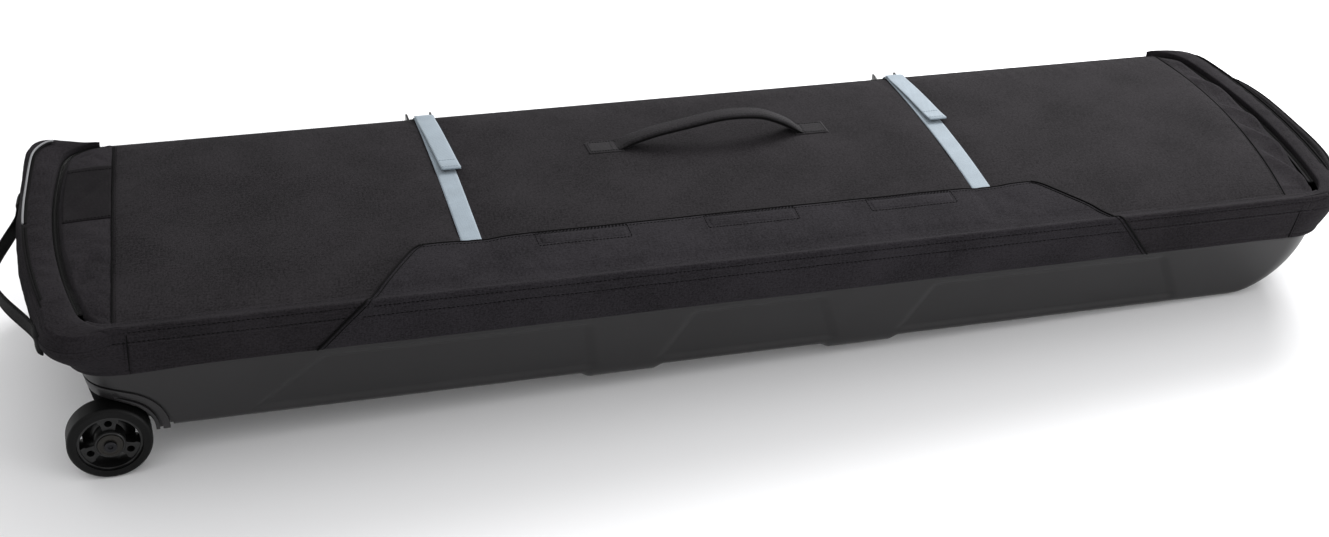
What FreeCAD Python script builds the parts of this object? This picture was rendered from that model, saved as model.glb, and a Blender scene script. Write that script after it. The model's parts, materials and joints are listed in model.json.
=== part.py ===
import FreeCAD, Part
import math
import os
import types

import Sketcher

# A wheeled bag for two snowboards: a moulded tray, a padded fabric wall and a lid that is
# sewn along the near long edge and zipped along the other three. It is built level and then
# put on its wheels and its nose end. +X points to the nose, -X to the wheels, -Y is the side
# with the sewn edge, and z = 0 is the lower edge of the fabric wall while it is level.

V = FreeCAD.Vector
NEAR, FAR = -1, 1
WHEEL_END, NOSE_END = -1, 1
SIDES = {"near": NEAR, "far": FAR}
ENDS = {"wheel_end": WHEEL_END, "nose_end": NOSE_END}

DIMENSIONS = [
    # name, millimetres or degrees, meaning
    ("crown_half_length", 862, "half the bag's length at the top of the wall"),
    ("crown_half_width", 223, "half the bag's width at the top of the wall"),
    ("rim_half_length", 852, "half length at the wall's lower edge"),
    ("rim_half_width", 209, "half width at the wall's lower edge"),
    ("end_radius", 900, "plan radius of the two bowed ends"),
    ("crown_corner", 62, "plan radius of the corners at the top of the wall"),
    ("wall_height", 56, "wall's lower edge to the lid's underside"),
    ("shoulder_height", 68, "wall's lower edge to the top of the end shoulders"),
    ("wall_thick", 5, "fabric and foam of the wall"),
    ("wall_seam_x", 770, "upright seams between the long walls and the end walls"),
    ("tray_depth", 108, "wall's lower edge to the tray's underside"),
    ("tray_draft", 22, "how far the tray's sides lean in over its depth"),
    ("tray_half_width", 203, "half the tray's width at its rim"),
    ("tray_wheel_end", 844, "the tray's rim at the wheel end"),
    ("tray_wheel_lean", 26, "how far the tray's wheel end leans in"),
    ("tray_nose_flat", 744, "where the underside starts to curve up to the nose"),
    ("tray_nose_reach", 102, "length of the nose curve"),
    ("tray_corner", 56, "plan radius of the tray's corners"),
    ("tray_wall", 3.5, "thickness of the moulded tray"),
    ("tray_overlap", 14, "how far the tray rises inside the wall"),
    ("panel_depth", 2.5, "depth of the panels pressed into the tray's sides"),
    ("skid_drop", 6, "how far the skid blocks stand below the tray"),
    ("skid_length", 84, "length of a skid block"),
    ("panel_top", 16, "wall's lower edge to the top of the pressed panels"),
    ("panel_bottom", 92, "wall's lower edge to the bottom of the pressed panels"),
    ("pad_thick", 8, "foam pad on the tray's floor"),
    ("wheel_x", 800, "wheel axis to the bag's middle"),
    ("wheel_radius", 50.5, "tyre radius"),
    ("wheel_middle_y", 185, "middle of the wheel's width"),
    ("wheel_width", 30, "tyre width"),
    ("tyre_inner", 39, "inner radius of the tyre"),
    ("rim_inner", 35.5, "inner radius of the wheel's rim"),
    ("hub_radius", 18.5, "radius of the wheel's hub"),
    ("spoke_width", 24, "width of a spoke"),
    ("spoke_hole", 4.6, "radius of the hole in each spoke"),
    ("bearing_radius", 11, "outer radius of a wheel bearing"),
    ("bearing_width", 7, "width of a wheel bearing"),
    ("axle_radius", 4, "radius of the axle bolt"),
    ("running_gap", 0.05, "radial clearance of a bearing on its bolt"),
    ("well_radius", 73, "outer radius of the wheel housing"),
    ("arch_radius", 55.5, "inner radius of the wheel housing"),
    ("well_inner_y", 152, "the wheel housing's inner plate"),
    ("boss_radius", 19, "radius of the boss that holds the axle"),
    ("insert_radius", 7.5, "corner radius of the axle's threaded insert"),
    ("insert_length", 9, "length of the threaded insert"),
    ("bolt_head_radius", 7.5, "radius of the axle bolt's head"),
    ("washer_radius", 15, "radius of the washer under the bolt's head"),
    ("plate_thick", 4, "thickness of the housing's inner plate"),
    ("lid_half_width", 216, "half the lid's width"),
    ("lid_edge", 66, "top of the lid at its long edges"),
    ("lid_crown", 75, "top of the lid along its middle"),
    ("lid_seam_wheel", 770, "seam of the lid's wheel-end panel"),
    ("lid_seam_nose", 758, "seam of the lid's nose-end panel"),
    ("lid_wheel_x", 832, "lid's wheel-end edge"),
    ("lid_nose_x", 826, "lid's nose-end edge"),
    ("hinge_y", 222, "the lid's sewn edge"),
    ("hinge_z", 57, "height of the lid's sewn edge"),
    ("flap_foot_x", 553, "half length of the cover flap at the wall's lower edge"),
    ("flap_top_x", 417, "half length of the cover flap at its top edge"),
    ("flap_reach_y", 122, "the cover flap's top edge to the bag's middle"),
    ("flap_lift", 2.6, "gap between the lid and the cover flap, for the straps"),
    ("flap_thick", 2, "cover flap's fabric"),
    ("grip_patch_half", 60, "half length of a hook-and-loop patch"),
    ("grip_patch_step", 205, "distance between the hook-and-loop patches"),
    ("grip_patch_width", 28, "width of a hook-and-loop patch"),
    ("strap_x", 345, "compression strap to the bag's middle"),
    ("strap_width", 26, "width of the compression webbing"),
    ("strap_thick", 2, "thickness of the compression webbing"),
    ("strap_tail", 152, "length of the strap's free tail"),
    ("buckle_width", 36, "width of a strap buckle"),
    ("handle_anchor_x", 147, "carry handle's patches to the middle of the handle"),
    ("handle_middle_x", 19, "carry handle to the bag's middle, along the bag"),
    ("handle_middle_y", 70, "carry handle to the bag's middle, across the bag"),
    ("handle_rise", 36, "height of the carry handle's grip over the lid"),
    ("handle_lift", 4.6, "height of the carry handle's sewn ends over the lid"),
    ("handle_width", 24, "width of the carry handle"),
    ("lid_corner", 48, "plan radius of the lid's corners"),
    ("zip_gap", 3, "gap between the lid and the end shoulders"),
    ("slider_x", 70, "each zip slider to the bag's middle when parked"),
    ("pin_radius", 1, "radius of the pin in a zip slider"),
    ("pin_reach", 5.2, "pin to the back of the slider's plate"),
    ("pull_length", 34, "length of a zip pull"),
    ("piping_radius", 2.2, "radius of the piping round the ends"),
    ("loop_height", 30, "webbing width of the end handles"),
    ("wheel_loop_reach", 64, "how far the wheel-end handle bows out"),
    ("nose_loop_reach", 30, "how far the nose-end handle bows out"),
    ("wheel_loop_thick", 4, "thickness of the wheel-end handle's webbing"),
    ("nose_loop_thick", 8, "thickness of the nose-end handle's padding"),
    ("wheel_loop_z", 39, "middle of the wheel-end handle over the wall's lower edge"),
    ("nose_loop_z", 46, "middle of the nose-end handle over the wall's lower edge"),
    ("handle_thick", 9, "thickness of the padded carry handle"),
    ("web_thick", 1.6, "thickness of the webbing that holds a buckle"),
    ("web_foot", 4, "wall's lower edge to the foot of the buckle's webbing"),
    ("slot_low", 14.5, "wall's lower edge to the slot in the buckle's socket"),
    ("slot_high", 17, "top of the slot in the buckle's socket"),
    ("tape_thick", 0.9, "thickness of the zip's tape round the ends"),
    ("tape_gap", 3, "gap between the lid's edge and the zip's tape"),
    ("tape_width", 6, "width of the zip's tape round the ends"),
]

# Where the three panels pressed into each side start and end, at their top and bottom edges,
# and the middles of the two pairs of skid blocks between them.
PANELS = (((-543, -215), (-625, -201)), ((-77, 96), (-114, 127)), ((253, 588), (217, 627)))
SKID_MIDDLES = (-162, 165)

# Where each end's piping starts and stops, across the bag, and where its handle is sewn on.
PIPING_RUN = (-150, 190)
PIPING_FACETS = 5
WHEEL_LOOP_RUN = (-178, 118)
NOSE_LOOP_RUN = (-150, 150)

# A length that reaches past the bag in every direction, for the blocks that trim its parts.
FAR_OUT = 900

document = FreeCAD.newDocument("snowboard_bag")
sheet = document.addObject("Spreadsheet::Sheet", "Dimensions")


class Size:
    """A length that keeps its value and the sheet expression that it comes from."""

    def __init__(self, value, text):
        self.value = float(value)
        self.text = text

    def joined(self, sign, other, value):
        return Size(value, "(%s %s %s)" % (self.text, sign, size_of(other).text))

    def __add__(self, other):
        return self.joined("+", other, self.value + size_of(other).value)

    def __sub__(self, other):
        return self.joined("-", other, self.value - size_of(other).value)

    def __mul__(self, other):
        return self.joined("*", other, self.value * size_of(other).value)

    def __truediv__(self, other):
        return self.joined("/", other, self.value / size_of(other).value)

    def __radd__(self, other):
        return size_of(other) + self

    def __rsub__(self, other):
        return size_of(other) - self

    def __rmul__(self, other):
        return size_of(other) * self

    def __neg__(self):
        return Size(-self.value, "(0 - %s)" % self.text)

    def __float__(self):
        return self.value


def size_of(thing):
    """Give a plain number the form of a Size."""
    if isinstance(thing, Size):
        return thing
    return Size(thing, repr(float(thing)))


def fill_sheet():
    """Write the driving dimensions into the sheet and return them by name."""
    named = {}
    for row, (name, number, meaning) in enumerate(DIMENSIONS, 1):
        sheet.set("A%d" % row, name)
        sheet.set("B%d" % row, str(number))
        sheet.set("C%d" % row, meaning)
        sheet.setAlias("B%d" % row, name)
        named[name] = Size(number, "Dimensions.%s" % name)
    document.recompute()
    return types.SimpleNamespace(**named)


s = fill_sheet()
PARTS = {}


def number(thing):
    return size_of(thing).value


def bind(thing, **sizes):
    """Bind properties to sheet expressions and give them their values now."""
    for name, length in sizes.items():
        setattr(thing, name, number(length))
        thing.setExpression(name, size_of(length).text)


def keep(thing, label):
    """Register a finished sub-part under the name of its node."""
    thing.Label = label
    PARTS[label] = thing
    return thing


# ---------------------------------------------------------------- Part primitives and booleans

def place(thing, x, y, z, rotation=None):
    thing.Placement = FreeCAD.Placement(V(number(x), number(y), number(z)),
                                        rotation or FreeCAD.Rotation())
    for axis, length in zip("xyz", (x, y, z)):
        thing.setExpression("Placement.Base.%s" % axis, size_of(length).text)


def box(x_range, y_range, z_range):
    """A box between two corners."""
    lows = [size_of(low) for low, high in (x_range, y_range, z_range)]
    spans = [size_of(high) - low for low, high in (x_range, y_range, z_range)]
    block = document.addObject("Part::Box", "Block")
    bind(block, Length=spans[0], Width=spans[1], Height=spans[2])
    place(block, *lows)
    return block


def span(a, b):
    """Order two limits, so that a mirrored pair can be written once."""
    return (a, b) if number(a) < number(b) else (b, a)


AXIS_TURN = {
    "x": FreeCAD.Rotation(V(0, 1, 0), 90),
    "y": FreeCAD.Rotation(V(1, 0, 0), -90),
    "z": FreeCAD.Rotation(),
}


def cylinder(axis, radius, start, length):
    """A cylinder from a start point along a positive axis."""
    rod = document.addObject("Part::Cylinder", "Rod")
    bind(rod, Radius=radius, Height=length)
    place(rod, *start, rotation=AXIS_TURN[axis])
    return rod


def cut(base, tool):
    result = document.addObject("Part::Cut", "Cut")
    result.Base, result.Tool = base, tool
    return result


def common(*shapes):
    result = document.addObject("Part::MultiCommon", "Common")
    result.Shapes = list(shapes)
    return result


def fuse(*shapes):
    result = document.addObject("Part::MultiFuse", "Fusion")
    result.Shapes = list(shapes)
    return result


def group(*shapes):
    """Separate solids that share one node, or one solid that needs a place of its own."""
    result = document.addObject("Part::Compound", "Group")
    result.Links = list(shapes)
    return result


def feature(shape, name="Form"):
    result = document.addObject("Part::Feature", name)
    result.Shape = shape
    return result


# ---------------------------------------------------------------- PartDesign helpers

def new_body(label):
    body = document.addObject("PartDesign::Body", label)
    return keep(body, label)


def new_sketch(body, role, offset=(0, 0, 0)):
    """A sketch on one of the body's own origin planes, moved by an offset in that plane."""
    sketch = body.newObject("Sketcher::SketchObject", "Sketch")
    plane = [p for p in body.Origin.OriginFeatures if p.Role == role][0]
    sketch.AttachmentSupport = [(plane, "")]
    sketch.MapMode = "FlatFace"
    sketch.AttachmentOffset = FreeCAD.Placement(V(*[number(o) for o in offset]),
                                                FreeCAD.Rotation())
    for axis, length in zip("xyz", offset):
        sketch.setExpression("AttachmentOffset.Base.%s" % axis, size_of(length).text)
    return sketch


def pin_point(sketch, curve, end, point):
    """Hold one end of a sketch curve at a place given by two sizes."""
    for kind, own_axis, length in (("DistanceX", -2, point[0]), ("DistanceY", -1, point[1])):
        if number(length) == 0:
            sketch.addConstraint(Sketcher.Constraint("PointOnObject", curve, end, own_axis))
            continue
        rule = sketch.addConstraint(
            Sketcher.Constraint(kind, -1, 1, curve, end, number(length)))
        sketch.setExpression("Constraints[%d]" % rule, size_of(length).text)


def flat(point):
    return V(number(point[0]), number(point[1]), 0)


def polygon(sketch, points):
    """A closed outline of straight lines, each corner held by the sheet."""
    first = sketch.GeometryCount
    count = len(points)
    for index, point in enumerate(points):
        following = points[(index + 1) % count]
        sketch.addGeometry(Part.LineSegment(flat(point), flat(following)), False)
    for index, point in enumerate(points):
        before = first + (index - 1) % count
        sketch.addConstraint(Sketcher.Constraint("Coincident", before, 2, first + index, 1))
        pin_point(sketch, first + index, 1, point)


def circle(sketch, centre, radius):
    curve = sketch.addGeometry(Part.Circle(flat(centre), V(0, 0, 1), number(radius)), False)
    pin_point(sketch, curve, 3, centre)
    rule = sketch.addConstraint(Sketcher.Constraint("Radius", curve, number(radius)))
    sketch.setExpression("Constraints[%d]" % rule, size_of(radius).text)


def pad(body, sketch, length, midplane=False, backwards=False):
    step = body.newObject("PartDesign::Pad", "Pad")
    step.Profile = sketch
    step.SideType = "Symmetric" if midplane else "One side"
    step.Reversed = backwards
    bind(step, Length=length)
    body.Tip = step
    return step


def pocket_through(body, sketch):
    step = body.newObject("PartDesign::Pocket", "Pocket")
    step.Profile = sketch
    step.Type = "ThroughAll"
    step.SideType = "Symmetric"
    body.Tip = step
    return step


def repeat_round(body, features, sketch, count):
    """Repeat features evenly about the normal through a sketch's own origin."""
    step = body.newObject("PartDesign::PolarPattern", "PolarPattern")
    step.Originals = features
    step.Axis = (sketch, ["N_Axis"])
    step.Angle = 360
    step.Occurrences = count
    body.Tip = step
    return step


# ---------------------------------------------------------------- outlines that are lofted

def rim_wire(z, x_low, x_high, half_width, corner, end_radius):
    """A plan outline: straight long sides, bowed ends and round corners."""
    z, x_low, x_high = number(z), number(x_low), number(x_high)
    half_width, corner, end_radius = number(half_width), number(corner), number(end_radius)
    reach = math.sqrt((end_radius - corner) ** 2 - (half_width - corner) ** 2)
    rise = math.atan2(half_width - corner, reach)
    edges = []

    def turned(side, x_end, x_sign):
        """The corner's centre, its two tangent points and its middle."""
        bow = x_end - x_sign * end_radius
        centre = V(bow + x_sign * reach, side * (half_width - corner), z)
        on_end = V(bow + x_sign * end_radius * math.cos(rise),
                   side * end_radius * math.sin(rise), z)
        on_side = V(centre.x, side * half_width, z)
        middle_turn = (rise + math.pi / 2) / 2
        middle = centre + V(x_sign * corner * math.cos(middle_turn),
                            side * corner * math.sin(middle_turn), 0)
        return on_side, middle, on_end

    nose_near = turned(NEAR, x_high, 1)
    nose_far = turned(FAR, x_high, 1)
    wheel_far = turned(FAR, x_low, -1)
    wheel_near = turned(NEAR, x_low, -1)
    edges.append(Part.LineSegment(wheel_near[0], nose_near[0]).toShape())
    edges.append(Part.Arc(*nose_near).toShape())
    edges.append(Part.Arc(nose_near[2], V(x_high, 0, z), nose_far[2]).toShape())
    edges.append(Part.Arc(*reversed(nose_far)).toShape())
    edges.append(Part.LineSegment(nose_far[0], wheel_far[0]).toShape())
    edges.append(Part.Arc(*wheel_far).toShape())
    edges.append(Part.Arc(wheel_far[2], V(x_low, 0, z), wheel_near[2]).toShape())
    edges.append(Part.Arc(*reversed(wheel_near)).toShape())
    return Part.Wire(edges)


def stacked(wires):
    """A solid through a pile of outlines."""
    return Part.makeLoft(wires, True, True)


def wall_block(inset, z_low, z_high):
    """The leaning block that the fabric wall encloses, drawn in by an inset."""
    wires = []
    for z in (z_low, z_high):
        share = number(z) / number(s.shoulder_height)
        half_length = number(s.rim_half_length) * (1 - share) + number(s.crown_half_length) * share
        half_width = number(s.rim_half_width) * (1 - share) + number(s.crown_half_width) * share
        wires.append(rim_wire(z, inset - half_length, half_length - inset, half_width - inset,
                              number(s.crown_corner) - inset, number(s.end_radius) - inset))
    return stacked(wires)


def tray_level(z, inset):
    """The tray's outline at one height below its rim, drawn in by an inset."""
    depth = number(s.tray_depth) - inset
    share = min(max(-z / number(s.tray_depth), 0), 1)
    curve = math.sqrt(max(0, 1 - (max(-z, 0) / depth) ** 2))
    x_high = number(s.tray_nose_flat) + (number(s.tray_nose_reach) - inset) * curve
    x_low = inset - number(s.tray_wheel_end) + number(s.tray_wheel_lean) * share
    half_width = number(s.tray_half_width) - number(s.tray_draft) * share - inset
    corner = number(s.tray_corner) - 10 * share - inset
    return rim_wire(z, x_low, x_high, half_width, corner, number(s.end_radius) - inset)


def tray_block(inset):
    """A solid of the tray's form, from its floor to the top of its rim."""
    depth = number(s.tray_depth) - inset
    steps = 9
    heights = [-depth * math.sin(math.pi / 2 * step / steps) for step in range(steps, -1, -1)]
    heights.append(number(s.tray_overlap) + (1 if inset else 0))
    return stacked([tray_level(z, inset) for z in heights])


# ---------------------------------------------------------------- tray, housings and pad

def well_blocks(radius, y_range):
    """The solid of a wheel well: round over the wheel and open towards the wheel end."""
    low_y, high_y = y_range
    disc = cylinder("y", radius, (-s.wheel_x, low_y, -s.tray_depth), size_of(high_y) - low_y)
    tail = box((-s.wheel_x - 80, -s.wheel_x), y_range, (-s.tray_depth - 80, radius - s.tray_depth))
    return fuse(disc, tail)


def side_range(side, inner, outer):
    """A range of y on one side of the bag."""
    return span(size_of(inner) * side, size_of(outer) * side)


def pressed_panel(side, top_range, bottom_range):
    """A slanted-ended block that presses a shallow panel into the tray's side."""
    rows = []
    for z, x_range in ((-s.panel_top, top_range), (-s.panel_bottom, bottom_range)):
        lean = s.tray_draft * (-z / s.tray_depth)
        y = number(s.tray_half_width - lean - s.panel_depth) * side
        rows.append([V(x, y, number(z)) for x in x_range])
    ring = [rows[0][0], rows[0][1], rows[1][1], rows[1][0]]
    face = Part.Face(Part.makePolygon(ring + ring[:1]))
    return face.extrude(V(0, side * 30, 0))


def make_tray():
    outer = feature(tray_block(0), "TrayOutside")
    inner = feature(tray_block(number(s.tray_wall)), "TrayInside")
    tray = cut(outer, inner)
    for side in SIDES.values():
        tray = cut(tray, well_blocks(s.well_radius,
                                     side_range(side, s.well_inner_y - s.plate_thick, 260)))
        for top_range, bottom_range in PANELS:
            tray = cut(tray, feature(pressed_panel(side, top_range, bottom_range), "PanelTool"))
    blocks = []
    for side in SIDES.values():
        for middle in SKID_MIDDLES:
            foot_y = s.tray_half_width - s.tray_draft
            blocks.append(box((size_of(middle) - s.skid_length / 2, size_of(middle) + s.skid_length / 2),
                              side_range(side, foot_y - 46, foot_y - 3),
                              (-s.tray_depth - s.skid_drop, -s.tray_depth + 2)))
    keep(fuse(tray, *blocks), "bottom_tray")
    return outer


def axle_insert(side):
    """The hexagonal metal insert that the axle bolt screws into."""
    insert = document.addObject("Part::Prism", "Insert")
    insert.Polygon = 6
    bind(insert, Circumradius=s.insert_radius, Height=s.insert_length)
    low = side_range(side, s.well_inner_y, s.well_inner_y + s.insert_length)[0]
    place(insert, -s.wheel_x, low, -s.tray_depth, rotation=AXIS_TURN["y"])
    return insert


def make_housings(tray_outside):
    """Each housing lines its well: an arched band, an inner plate and the boss for the axle."""
    for name, side in SIDES.items():
        band = cut(well_blocks(s.well_radius - 0.6, side_range(side, s.well_inner_y, 230)),
                   well_blocks(s.arch_radius, side_range(side, 100, 260)))
        plate_low = s.well_inner_y - s.plate_thick
        plate = well_blocks(s.well_radius - 0.6, side_range(side, plate_low, s.well_inner_y))
        boss_range = side_range(side, plate_low, s.wheel_middle_y - s.wheel_width / 2 + 0.5)
        boss_start = (-s.wheel_x, boss_range[0], -s.tray_depth)
        boss = cylinder("y", s.boss_radius, boss_start, boss_range[1] - boss_range[0])
        bolt_range = side_range(side, plate_low + 1, 230)
        bore = cylinder("y", s.axle_radius, (-s.wheel_x, bolt_range[0], -s.tray_depth),
                        bolt_range[1] - bolt_range[0])
        lining = fuse(common(fuse(band, plate), tray_outside), boss)
        keep(cut(cut(lining, bore), axle_insert(side)), "wheel_housing_%s" % name)


def make_floor_pad():
    """A foam pad with square ends that stops short of the wheel wells."""
    half = s.tray_half_width - s.tray_draft - s.tray_wall - 12
    floor = s.tray_wall - s.tray_depth
    pad_block = box((-s.wheel_x + s.well_radius + 12, s.tray_nose_flat - 26), (-half, half),
                    (floor, floor + s.pad_thick))
    keep(group(pad_block), "floor_pad")


# ---------------------------------------------------------------- wheels

def wheel_sketch(body, side):
    """A sketch in the wheel's middle plane with its own origin on the wheel's axis."""
    return new_sketch(body, "XZ_Plane", (-s.wheel_x, -s.tray_depth, -s.wheel_middle_y * side))


def ring_body(label, side, outer, inner, width):
    body = new_body(label)
    sketch = wheel_sketch(body, side)
    circle(sketch, (0, 0), outer)
    circle(sketch, (0, 0), inner)
    pad(body, sketch, width, midplane=True)
    return body


def make_tyre(label, side):
    body = ring_body(label, side, s.wheel_radius, s.tyre_inner, s.wheel_width)
    document.recompute()
    ring = body.Tip
    outer_edges = []
    for index, edge in enumerate(ring.Shape.Edges, 1):
        if isinstance(edge.Curve, Part.Circle) and edge.Curve.Radius > number(s.wheel_radius) - 1:
            outer_edges.append("Edge%d" % index)
    rounding = body.newObject("PartDesign::Fillet", "Rounding")
    rounding.Base = (ring, outer_edges)
    rounding.Radius = 5
    body.Tip = rounding


def make_wheel_hub(label, side):
    """A rim and a hub joined by three broad spokes, each with a round hole near its tip."""
    body = ring_body(label, side, s.tyre_inner, s.rim_inner, s.wheel_width - 4)
    core = wheel_sketch(body, side)
    circle(core, (0, 0), s.hub_radius)
    circle(core, (0, 0), s.bearing_radius)
    pad(body, core, s.wheel_width - 2, midplane=True)
    spoke = wheel_sketch(body, side)
    half = s.spoke_width / 2
    polygon(spoke, [(-half * 0.55, s.hub_radius - 3), (half * 0.55, s.hub_radius - 3),
                    (half * 0.8, s.rim_inner - 9), (half, s.rim_inner - 7),
                    (half, s.rim_inner + 1), (-half, s.rim_inner + 1),
                    (-half, s.rim_inner - 7), (-half * 0.8, s.rim_inner - 9)])
    spoke_pad = pad(body, spoke, s.wheel_width - 10, midplane=True)
    holed = wheel_sketch(body, side)
    circle(holed, (0, s.rim_inner - 8.5), s.spoke_hole)
    holed_pocket = pocket_through(body, holed)
    document.recompute()
    repeat_round(body, [spoke_pad, holed_pocket], spoke, 3)
    body.Origin.recompute()


def make_bearings(label, side):
    """Two sealed ball bearings, one at each face of the hub."""
    rings = []
    inner_face = s.wheel_width / 2 - 1 - s.bearing_width
    for face in (-1, 1):
        y_low = s.wheel_middle_y * side + (inner_face if face > 0 else -inner_face - s.bearing_width)
        start = (-s.wheel_x, y_low, -s.tray_depth)
        rings.append(cut(cylinder("y", s.bearing_radius, start, s.bearing_width),
                         cylinder("y", s.axle_radius + s.running_gap, start, s.bearing_width)))
    keep(group(*rings), label)


def make_axle(name, side):
    """A socket-headed bolt, the washer under its head and the insert that it screws into."""
    face = s.wheel_middle_y + s.wheel_width / 2
    head_low = face + 2
    shank_range = side_range(side, s.well_inner_y - s.plate_thick + 1, head_low)
    shank = cylinder("y", s.axle_radius, (-s.wheel_x, shank_range[0], -s.tray_depth),
                     shank_range[1] - shank_range[0])
    head = cylinder("y", s.bolt_head_radius, (-s.wheel_x, side_range(side, head_low, head_low + 4)[0],
                                              -s.tray_depth), 4)
    socket = document.addObject("Part::Prism", "Socket")
    socket.Polygon = 6
    bind(socket, Circumradius=s.bolt_head_radius * 0.45)
    socket.Height = 3
    place(socket, -s.wheel_x, side_range(side, head_low + 1.2, head_low + 4.2)[0], -s.tray_depth,
          rotation=AXIS_TURN["y"])
    keep(cut(fuse(shank, head), socket), "axle_bolt_%s" % name)

    washer_start = (-s.wheel_x, side_range(side, face, face + 2)[0], -s.tray_depth)
    keep(cut(cylinder("y", s.washer_radius, washer_start, 2),
             cylinder("y", s.axle_radius, washer_start, 2)), "hub_washer_%s" % name)

    insert_bore = cylinder("y", s.axle_radius, (-s.wheel_x, side_range(side, 120, 230)[0],
                                                -s.tray_depth), 110)
    keep(cut(axle_insert(side), insert_bore), "axle_insert_%s" % name)


# ---------------------------------------------------------------- fabric wall

def make_walls():
    """The padded wall in four lengths, which meet at the upright seams near the corners."""
    top = number(s.wall_height)
    outside = feature(wall_block(0, 0, top), "WallOutside")
    inside = feature(wall_block(number(s.wall_thick), -1, top + 1), "WallInside")
    for name, side in SIDES.items():
        zone = box((-s.wall_seam_x, s.wall_seam_x), side_range(side, 100, 260), (-10, 100))
        keep(common(cut(outside, inside), zone), "%s_wall" % name)
    lid_edges = {"wheel_end": s.lid_wheel_x, "nose_end": s.lid_nose_x}
    for name, end in ENDS.items():
        keep(end_wall(end, lid_edges[name], top), "%s_wall" % name)


def end_wall(end, lid_edge, top):
    """The wall round one end, with the shoulder that the lid's zipped edge meets."""
    block = feature(wall_block(0, 0, number(s.shoulder_height)), "EndBlock")
    hollow = feature(wall_block(number(s.wall_thick), -1, top + 5), "EndHollow")
    below_ledge = box(side_range(end, 0, 900), (-260, 260), (-10, top - 6))
    under_lid = box(side_range(end, 0, lid_edge + 1.5), (-260, 260), (-10, top + 4))
    room = feature(Part.Face(lid_outline(number(s.zip_gap))).extrude(V(0, 0, 60)), "LidRoom")
    room.Placement.Base = V(0, 0, top)
    short = box(side_range(end, 0, lid_edge - 20), (-260, 260), (top, 100))
    zone = box(side_range(end, s.wall_seam_x, 900), (-260, 260), (-10, 100))
    shell = cut(common(block, zone), common(hollow, fuse(below_ledge, under_lid)))
    return cut(cut(shell, room), short)


# ---------------------------------------------------------------- lid

def lid_outline(extra):
    """The lid's plan outline at z = 0, let out by a gap."""
    return rim_wire(0, -number(s.lid_wheel_x) - extra, number(s.lid_nose_x) + extra,
                    number(s.lid_half_width) + extra, number(s.lid_corner) + extra,
                    number(s.end_radius) + extra)


def crown_sketch(body, extra_low, extra_high, half_width):
    """The lid's cross-section: a flat underside and a crowned top."""
    sketch = new_sketch(body, "YZ_Plane")
    bottom, edge, top = s.hinge_z + 1 + extra_low, s.lid_edge + extra_high, s.lid_crown + extra_high
    corners = [(-half_width, bottom), (half_width, bottom), (half_width, edge), (-half_width, edge)]
    for first, second in ((0, 1), (1, 2), (3, 0)):
        sketch.addGeometry(Part.LineSegment(flat(corners[first]), flat(corners[second])), False)
    arc = Part.Arc(flat(corners[2]), V(0, number(top), 0), flat(corners[3]))
    crown = sketch.addGeometry(arc, False)
    sketch.addConstraint(Sketcher.Constraint("Coincident", 0, 2, 1, 1))
    sketch.addConstraint(Sketcher.Constraint("Coincident", 0, 1, 2, 2))
    # The arc's two ends meet the upright sides, whichever way round the arc is kept.
    ends = (1, 2) if sketch.getPoint(crown, 1).y > 0 or sketch.getPoint(crown, 1).x > 0 else (2, 1)
    sketch.addConstraint(Sketcher.Constraint("Coincident", 1, 2, crown, ends[0]))
    sketch.addConstraint(Sketcher.Constraint("Coincident", 2, 1, crown, ends[1]))
    for curve, end, corner in ((0, 1, corners[0]), (0, 2, corners[1]), (1, 2, corners[2]),
                               (2, 1, corners[3])):
        pin_point(sketch, curve, end, corner)
    top_point = sketch.addGeometry(Part.Point(V(0, number(top), 0)), True)
    pin_point(sketch, top_point, 1, (0, top))
    sketch.addConstraint(Sketcher.Constraint("PointOnObject", top_point, 1, crown))
    return sketch


def lid_slab():
    """The whole crowned lid before it is divided at its seams."""
    body = document.addObject("PartDesign::Body", "LidSlab")
    sketch = crown_sketch(body, 0, 0, s.lid_half_width)
    pad(body, sketch, s.crown_half_length * 2, midplane=True)
    outline = feature(Part.Face(lid_outline(0)).extrude(V(0, 0, 200)), "LidOutline")
    return common(body, outline)


def crowned_strip(y_range, lift, thick, x_range, label=None):
    """A strip that lies over the crowned lid at a lift above it."""
    upper = document.addObject("PartDesign::Body", "StripTop")
    pad(upper, crown_sketch(upper, -20, lift + thick, s.lid_half_width), s.crown_half_length * 2,
        midplane=True)
    lower = document.addObject("PartDesign::Body", "StripBottom")
    pad(lower, crown_sketch(lower, -30, lift, s.lid_half_width), s.crown_half_length * 2,
        midplane=True)
    zone = box(x_range, y_range, (number(s.hinge_z) + 2, 200))
    strip = common(cut(upper, lower), zone)
    return keep(strip, label) if label else strip


def make_lid():
    slab = lid_slab()
    zones = {
        "lid_panel": (-s.lid_seam_wheel, s.lid_seam_nose),
        "lid_wheel_end_panel": (-s.crown_half_length, -s.lid_seam_wheel),
        "lid_nose_end_panel": (s.lid_seam_nose, s.crown_half_length),
    }
    for label, x_range in zones.items():
        keep(common(slab, box(x_range, (-260, 260), (0, 200))), label)
    crowned_strip((35, 165), 0, 1.2,
                  (-s.lid_wheel_x + 8, -s.lid_seam_wheel - 2), "lid_pocket_patch")


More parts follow.
